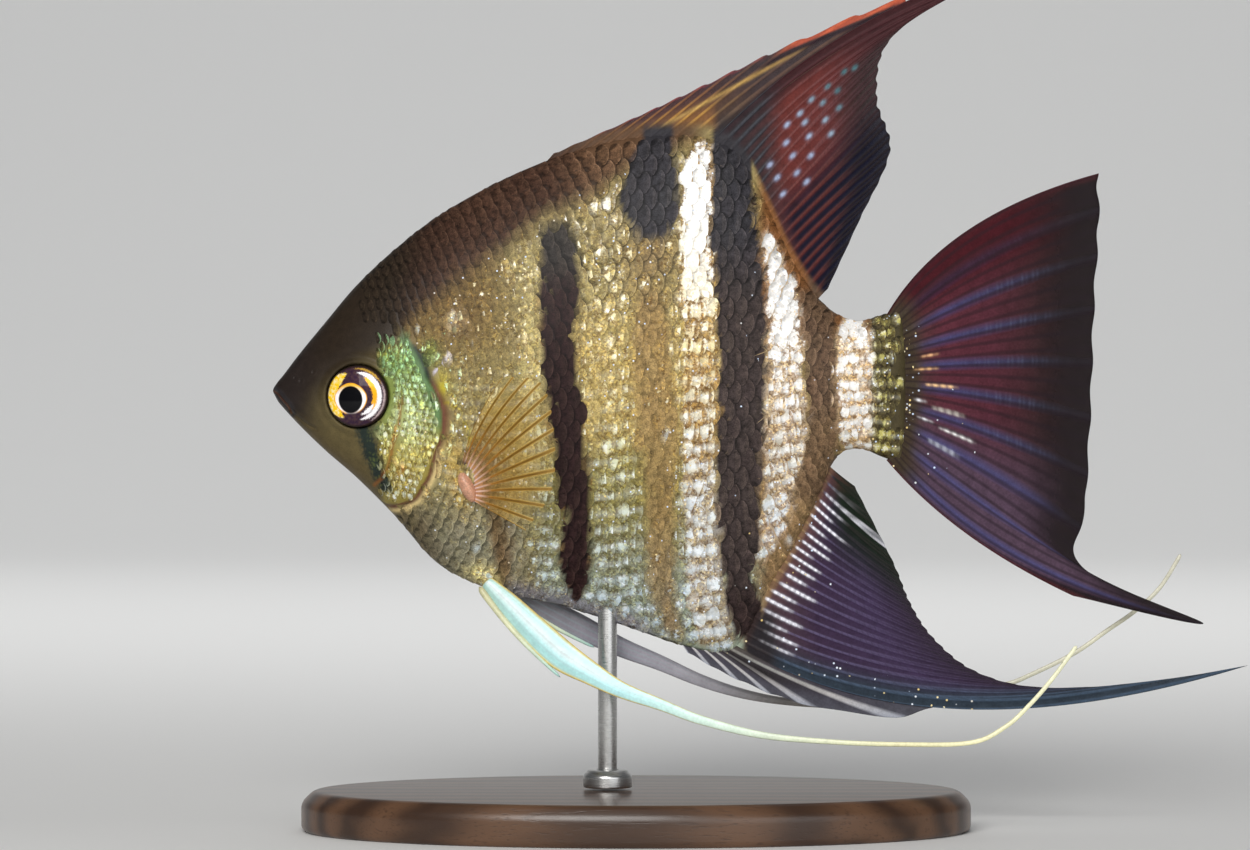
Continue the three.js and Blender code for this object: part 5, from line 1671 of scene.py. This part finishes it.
def pectoral_paint(x, z, number, v):
    web = blend(v, (0.50, 0.24, 0.14), (0.56, 0.30, 0.06), (0.74, 0.48, 0.11), (0.76, 0.56, 0.18))
    ray = blend(v, (0.86, 0.66, 0.62), (0.30, 0.14, 0.030), (0.150, 0.075, 0.012), (0.165, 0.085, 0.014),
                (0.28, 0.16, 0.035))
    black = step(number, 1.6, 0.9) * step(v, 0.16, 0.08)
    ray, web = over_both(ray, web, black, (0.02, 0.014, 0.012), (0.02, 0.014, 0.012))
    clear = 0.10 + 0.75 * step(v, 0.06, 0.22) + 0.12 * step(v, 0.6, 1.0)
    return ray, web, clear, np.zeros(len(x))


pad_finish, tree, shader = new_finish("fin_pad", Roughness=0.4, IOR=1.4, Coat_Weight=0.3,
                                      Coat_Roughness=0.12, Subsurface_Weight=0.15)
shader["Subsurface Radius"].default_value = (0.0012, 0.0005, 0.0003)
mottled = tree.pattern("Mottle", Colour=(0.52, 0.27, 0.17, 1.0), Amount=0.45,
                       Coarse=900.0, Fine=5000.0)
tree.feed(shader["Base Color"], mottled["Colour"])
tree.feed(shader["Normal"], tree.bump(mottled["Height"], 0.3, 0.00008))

# %% Both pectoral fins and their pads
for side, word in ((-1, "left"), (1, "right")):
    wall = float(section(PECTORAL_ROOT[0], math.asin(
        (PECTORAL_ROOT[1] - profile(PECTORAL_ROOT[0])[2]) / (profile(PECTORAL_ROOT[0])[2]
                                                               - profile(PECTORAL_ROOT[0])[1])))[0])
    sideways = lambda v, length: side * (wall - 0.4 + PECTORAL_FLARE * np.sin(v * math.pi / 2))
    fin = fan_piece(f"pectoral_{word}", PECTORAL_KEYS, sideways, pectoral_paint, clear_finish,
                    per_ray=14, rows=60, notch=0.05, branch=False, ray_share=1.5)
    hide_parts(f"pectoral_fin_{word}")
    pad_mesh, ball = ball_mesh(f"pectoral_pad_{word}", 40, 28)
    ball = ball * PAD
    lean = math.radians(PAD_LEAN)
    pad_x = ball[:, 0] * math.cos(lean) + ball[:, 2] * math.sin(lean)
    pad_z = ball[:, 2] * math.cos(lean) - ball[:, 0] * math.sin(lean)
    set_corners(pad_mesh, np.stack([PECTORAL_ROOT[0] - 0.2 + pad_x, side * wall + ball[:, 1],
                                    PECTORAL_ROOT[1] + pad_z], -1))
    add_piece(f"pectoral_pad_{word}", pad_mesh, pad_finish)

# %% [markdown]
# The pelvic fins hang under the breast. Each is a narrow pale blade that runs out into a long feeler,
# which trails back under the anal fin and curves up at its end. A short spine stands along its front.

# %% Pelvic fins
PELVICS = {  # x, y, z and half the blade's width; then the spine's root and tip
    "left": ([(26.1, 2.2, -24.0, 0.9), (28.7, 2.7, -26.6, 1.5), (31.7, 3.3, -29.6, 1.85),
              (35.3, 4.0, -32.8, 1.95), (38.9, 4.7, -35.0, 1.5), (42.6, 5.3, -37.0, 1.05),
              (47.5, 5.9, -38.8, 0.75), (52.3, 6.4, -40.6, 0.6), (59.6, 6.8, -42.4, 0.45),
              (68.0, 7.1, -43.2, 0.33), (76.4, 7.3, -43.5, 0.3), (84.9, 7.3, -43.3, 0.3),
              (89.1, 7.2, -41.4, 0.29), (92.0, 7.1, -38.8, 0.28), (94.8, 7.0, -35.6, 0.28),
              (97.8, 6.8, -31.6, 0.27)], (25.3, 2.4, -24.6), (35.3, 4.1, -35.6)),
    "right": ([(28.2, 2.2, -24.6, 0.85), (32.6, 3.0, -27.1, 1.4), (37.6, 3.8, -29.8, 1.55),
               (42.5, 4.5, -32.3, 1.25), (47.4, 5.1, -34.3, 1.0), (52.4, 5.7, -36.5, 0.8),
               (57.3, 6.2, -38.1, 0.65), (62.3, 6.6, -39.1, 0.5), (68.6, 6.9, -39.7, 0.38),
               (74.8, 7.1, -39.7, 0.32), (82.4, 7.2, -38.9, 0.3), (90.2, 7.2, -37.2, 0.3),
               (93.8, 7.1, -35.8, 0.29), (99.0, 7.0, -33.2, 0.29), (103.0, 6.8, -30.4, 0.28),
               (106.3, 6.7, -28.1, 0.28), (109.5, 6.6, -25.1, 0.27), (112.1, 6.4, -20.9, 0.26)],
              (27.6, 2.4, -25.0), (39.4, 4.1, -32.4)),
}


def tube(name, points, across, thick, finish, paint, around=18):
    """A closed tube along a line of points, oval in section and pointed at its ends."""
    count = len(points) - 1
    mesh = as_mesh(grid_mesh(around, count, slab=False), name)
    flat = corners(mesh) + 0.5
    row = np.rint(flat[:, 1] * count).astype(int)
    angle = flat[:, 0] * 2 * math.pi
    end = np.minimum(row, count - row)
    close = np.sqrt(1 - (1 - np.clip(end / 3, 0, 1)) ** 2)
    place = points[row] + across[row] * (np.cos(angle) * close)[:, None]
    place += thick[row] * (np.sin(angle) * close)[:, None]
    colour, clear = paint(row / count, np.cos(angle))
    store(mesh, "Paint", colour)
    store(mesh, "Clear", clear)
    store_uv(mesh, "FinMap", flat[:, :2])
    set_corners(mesh, place)
    close_up(mesh, 1e-7)
    return add_piece(name, mesh, finish)


# %% Finish and paint of the feelers
feeler_finish, tree, shader = new_finish("feeler", Roughness=0.36, IOR=1.42, Coat_Weight=0.25,
                                         Coat_Roughness=0.15)
mottled = tree.pattern("Mottle", Colour=tree.attribute("Paint"), Amount=0.14,
                       Coarse=500.0, Fine=3000.0)
around, along, _ = tree.parts(tree.uv("FinMap"))
lines = tree.math("SINE", tree.times(around, 75.0))
streaked = tree.times(tree.remap(lines, 0.2, 1.0, 0.0, 0.30), tree.remap(along, 0.45, 0.2))
tree.feed(shader["Base Color"], tree.mix(streaked, mottled["Colour"], (0.30, 0.45, 0.46, 1.0)))
tree.feed(shader["Alpha"], tree.minus(1.0, tree.attribute("Clear", "Fac")))
tree.feed(shader["Normal"], tree.bump(mottled["Height"], 0.2, 0.00006))


def left_pelvic_paint(t, edge):
    colour = blend(t, (0.50, 0.76, 0.70), (0.50, 0.90, 0.92), (0.52, 0.90, 0.93), (0.74, 0.90, 0.76),
                   (0.90, 0.86, 0.52), (0.86, 0.84, 0.54), (0.80, 0.80, 0.56))
    blade = step(t, 0.42, 0.22)
    colour = over(colour, (0.90, 0.97, 0.97), bell(edge - 0.15, 0.28) * blade * 0.9)
    colour = over(colour, (0.10, 0.20, 0.10), bell(edge + 0.62, 0.14) * blade * 0.6)
    colour = over(colour, (0.88, 0.66, 0.16), step(np.abs(edge), 0.74, 0.95) * step(t, 0.6, 0.3))
    return colour, 0.12 * step(t, 0.3, 0.05)


def right_pelvic_paint(t, edge):
    colour = blend(t, (0.20, 0.18, 0.20), (0.32, 0.30, 0.36), (0.40, 0.38, 0.42), (0.52, 0.50, 0.44),
                   (0.58, 0.57, 0.44), (0.62, 0.60, 0.46), (0.62, 0.60, 0.48))
    return colour, 0.12 * step(t, 0.3, 0.05)


def spine_paint(t, edge):
    return blend(t, (0.60, 0.55, 0.30), (0.75, 0.78, 0.52), (0.40, 0.66, 0.62)), np.zeros(len(t))


# %% Both pelvic fins
for word, (stops, root, tip) in PELVICS.items():
    side = -1 if word == "left" else 1
    paint = left_pelvic_paint if word == "left" else right_pelvic_paint
    middle = smooth_rows(stops, np.linspace(0, len(stops) - 1, 260))
    line = middle[:, :3] * (1, side, 1)
    run = np.gradient(line[:, [0, 2]], axis=0)
    run /= np.hypot(*run.T)[:, None]
    across = np.stack([-run[:, 1], 0 * run[:, 0], run[:, 0]], -1) * (middle[:, 3] * 0.96)[:, None]
    half = np.interp(np.linspace(0, 1, 260), [0, 0.5, 1], [0.34, 0.2, 0.18])
    thick = np.array((0.0, 1.0, 0.0)) * half[:, None]
    blade = tube(f"pelvic_{word}", line, across, thick, feeler_finish, paint)
    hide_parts(f"pelvic_fin_{word}")
    root, tip = np.array(root) * (1, side, 1), np.array(tip) * (1, side, 1)
    t = np.linspace(0, 1, 40)[:, None]
    line = root + (tip - root) * t + np.array((-0.35, 0.0, -0.35)) * np.sin(t * math.pi)
    size = 0.46 - 0.28 * t
    across = np.array((0.707, 0.0, 0.707)) * size
    thick = np.array((0.0, 1.0, 0.0)) * size
    tube(f"pelvic_spine_{word}", line, across, thick, feeler_finish, spine_paint)

# %% [markdown]
# ## The display stand
# The stand is a low oval walnut base, a thin steel rod that goes up into the belly, and a small collar
# where the rod leaves the base.

# %% Stand
wood_finish, tree, shader = new_finish("oiled_walnut", Roughness=0.34, IOR=1.45, Coat_Weight=0.25,
                                       Coat_Roughness=0.22)
grain = tree.pattern("Grain", Dark=(0.040, 0.019, 0.010, 1.0),
                     Light=(0.115, 0.058, 0.030, 1.0))
tree.feed(shader["Base Color"], grain["Colour"])
tree.feed(shader["Normal"], tree.bump(grain["Height"], 0.15, 0.0001))

steel_finish, tree, shader = new_finish("brushed_steel", Metallic=1.0, Roughness=0.30)
shader["Base Color"].default_value = (0.56, 0.56, 0.55, 1.0)
brushed = tree.noise(tree.scaled(tree.place(), (300.0, 300.0, 12000.0)), 1.0, 3.0)
tree.feed(shader["Roughness"], tree.remap(brushed, 0.3, 0.7, 0.22, 0.40))
tree.feed(shader["Normal"], tree.bump(brushed, 0.08, 0.00004))


# %% Turned parts
def turned(name, profile, middle, squash, finish, node, steps):
    """A turned piece: a profile of (radius, height) spun round an upright axis."""
    bm = bmesh.new()
    rim = [bm.verts.new((radius * MM, 0.0, height * MM)) for radius, height in profile]
    edges = [bm.edges.new(pair) for pair in zip(rim, rim[1:])]
    bmesh.ops.spin(bm, geom=rim + edges, cent=(0, 0, 0), axis=(0, 0, 1), dvec=(0, 0, 0),
                   angle=2 * math.pi, steps=steps, use_merge=True, use_duplicate=False)
    bmesh.ops.remove_doubles(bm, verts=bm.verts, dist=1e-7)
    bmesh.ops.scale(bm, verts=bm.verts, vec=(1.0, squash, 1.0))
    bmesh.ops.translate(bm, verts=bm.verts, vec=middle)
    bmesh.ops.recalc_face_normals(bm, faces=bm.faces)
    mesh = as_mesh(bm, name)
    piece = add_piece(name, mesh, finish)
    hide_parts(node)
    return piece


def rounded(outline, corner, cuts=6):
    """A profile whose inner corners are rounded, each over the given distance."""
    outline = np.asarray(outline, float)
    smooth = [outline[0]]
    for before, here, after in zip(outline, outline[1:], outline[2:]):
        to_before = (before - here) / np.linalg.norm(before - here)
        to_after = (after - here) / np.linalg.norm(after - here)
        reach = min(corner, np.linalg.norm(before - here) / 2, np.linalg.norm(after - here) / 2)
        start, end = here + to_before * reach, here + to_after * reach
        for t in np.linspace(0, 1, cuts):
            smooth.append(start * (1 - t) ** 2 + here * 2 * t * (1 - t) + end * t**2)
    smooth.append(outline[-1])
    return smooth


def stand_box(node):
    """A stand part's half length, half width and height in millimetres, and the place of its foot."""
    low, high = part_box(node)
    foot = ((low.x + high.x) / 2, (low.y + high.y) / 2, low.z)
    return (high.x - low.x) / 2 / MM, (high.y - low.y) / 2 / MM, (high.z - low.z) / MM, foot


# %% Base, collar and rod
long, wide, top, foot = stand_box("stand_base")
outline = [(0, 0), (long - 0.5, 0), (long, 0.5), (long, top - 1.5), (long - 1.5, top), (0, top)]
turned("stand_foot", rounded(outline, 0.7), foot, wide / long, wood_finish, "stand_base", 160)
radius, _, top, foot = stand_box("stand_collar")
outline = [(1.3, 0), (radius, 0), (radius, top - 0.7), (radius - 0.7, top), (1.3, top), (1.3, 0)]
turned("stand_ring", rounded(outline, 0.25), foot, 1.0, steel_finish, "stand_collar", 64)
radius, _, top, foot = stand_box("stand_rod")
outline = [(0, 0), (radius, 0), (radius, top), (0, top)]
turned("stand_post", rounded(outline, 0.2), foot, 1.0, steel_finish, "stand_rod", 48)

# %% [markdown]
# ## Studio
# The stand is on a pale floor that curves up into a pale backdrop, far enough behind the fish that a
# camera can stand between them. A wide soft light from the upper front brings out the scales, a second
# one fills from the side, a third lights the back from above, and a fourth lights the backdrop.

# %% Floor
floor_finish, tree, shader = new_finish("studio_paper", Roughness=0.85, Specular_IOR_Level=0.2)
shader["Base Color"].default_value = (0.84, 0.84, 0.83, 1.0)

FLOOR_WIDE, FLOOR_LONG = 8.0, 6.0  # metres, the backdrop's height included
FLOOR_FRONT = 1.8  # how far it reaches in front of the fish
BEND_AT, BEND_RADIUS = 2.9, 1.2  # where it turns up into the backdrop, and how widely

bm = bmesh.new()
bmesh.ops.create_grid(bm, x_segments=2, y_segments=60, size=0.5)
floor_mesh = as_mesh(bm, "studio_floor")
flat = corners(floor_mesh)
run = (flat[:, 1] + 0.5) * FLOOR_LONG
turn = np.clip((run - BEND_AT) / BEND_RADIUS, 0, math.pi / 2)
back = np.where(run < BEND_AT, run, BEND_AT + BEND_RADIUS * np.sin(turn))
climb = np.maximum(run - BEND_AT - BEND_RADIUS * math.pi / 2, 0)
up = np.where(run < BEND_AT, 0.0, BEND_RADIUS * (1 - np.cos(turn)) + climb)
floor_points = np.stack([flat[:, 0] * FLOOR_WIDE, back - FLOOR_FRONT, up], -1)
floor_mesh.vertices.foreach_set("co", floor_points.ravel())
floor_mesh.polygons.foreach_set("use_smooth", np.ones(len(floor_mesh.polygons), bool))
floor_mesh.materials.append(floor_finish)
floor_mesh.update()
floor = new_object("studio_floor", floor_mesh)
floor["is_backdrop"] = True


# %% Lights and world
def soft_light(name, at, aim, size, watts, colour=(1.0, 1.0, 1.0)):
    """A rectangular lamp at a place and aimed at another, both in the fish's own millimetres."""
    lamp = bpy.data.lights.new(name, "AREA")
    lamp.shape = "RECTANGLE"
    lamp.size, lamp.size_y = size
    lamp.energy = watts
    lamp.color = colour
    holder = new_object(name, lamp)
    start, end = world(at), world(aim)
    holder.location = start
    holder.rotation_euler = Vector(end - start).to_track_quat("-Z", "Y").to_euler()


MIDDLE = (48.0, 0.0, 0.0)
soft_light("key", (-90.0, -640.0, 300.0), MIDDLE, (0.42, 0.34), 4.35, (1.0, 0.985, 0.96))
soft_light("fill", (360.0, -580.0, 40.0), MIDDLE, (0.50, 0.40), 1.15, (0.96, 0.98, 1.0))
soft_light("top", (80.0, 260.0, 600.0), MIDDLE, (0.60, 0.40), 0.6)
soft_light("backdrop", (48.0, 300.0, 900.0), (48.0, 1900.0, 420.0), (2.80, 0.80), 20.0)

surroundings = bpy.data.worlds.new("studio_world")
surroundings.use_nodes = True
background = surroundings.node_tree.nodes["Background"]
background.inputs["Color"].default_value = (0.93, 0.95, 1.0, 1.0)
background.inputs["Strength"].default_value = 0.12
bpy.context.scene.world = surroundings
bpy.context.scene.view_settings.view_transform = "Standard"
print(f"{len(bpy.data.lights)} soft lights over {FLOOR_WIDE} m of floor")

# %% Finish
seen_low, seen_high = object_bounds()
sizes = {
    "cad": [list(cad_low), list(cad_high)],
    "visual": [list(seen_low), list(seen_high)],
}
for key, (low, high) in sizes.items():
    print(key, [round((b - a) / MM, 1) for a, b in zip(low, high)], "mm")
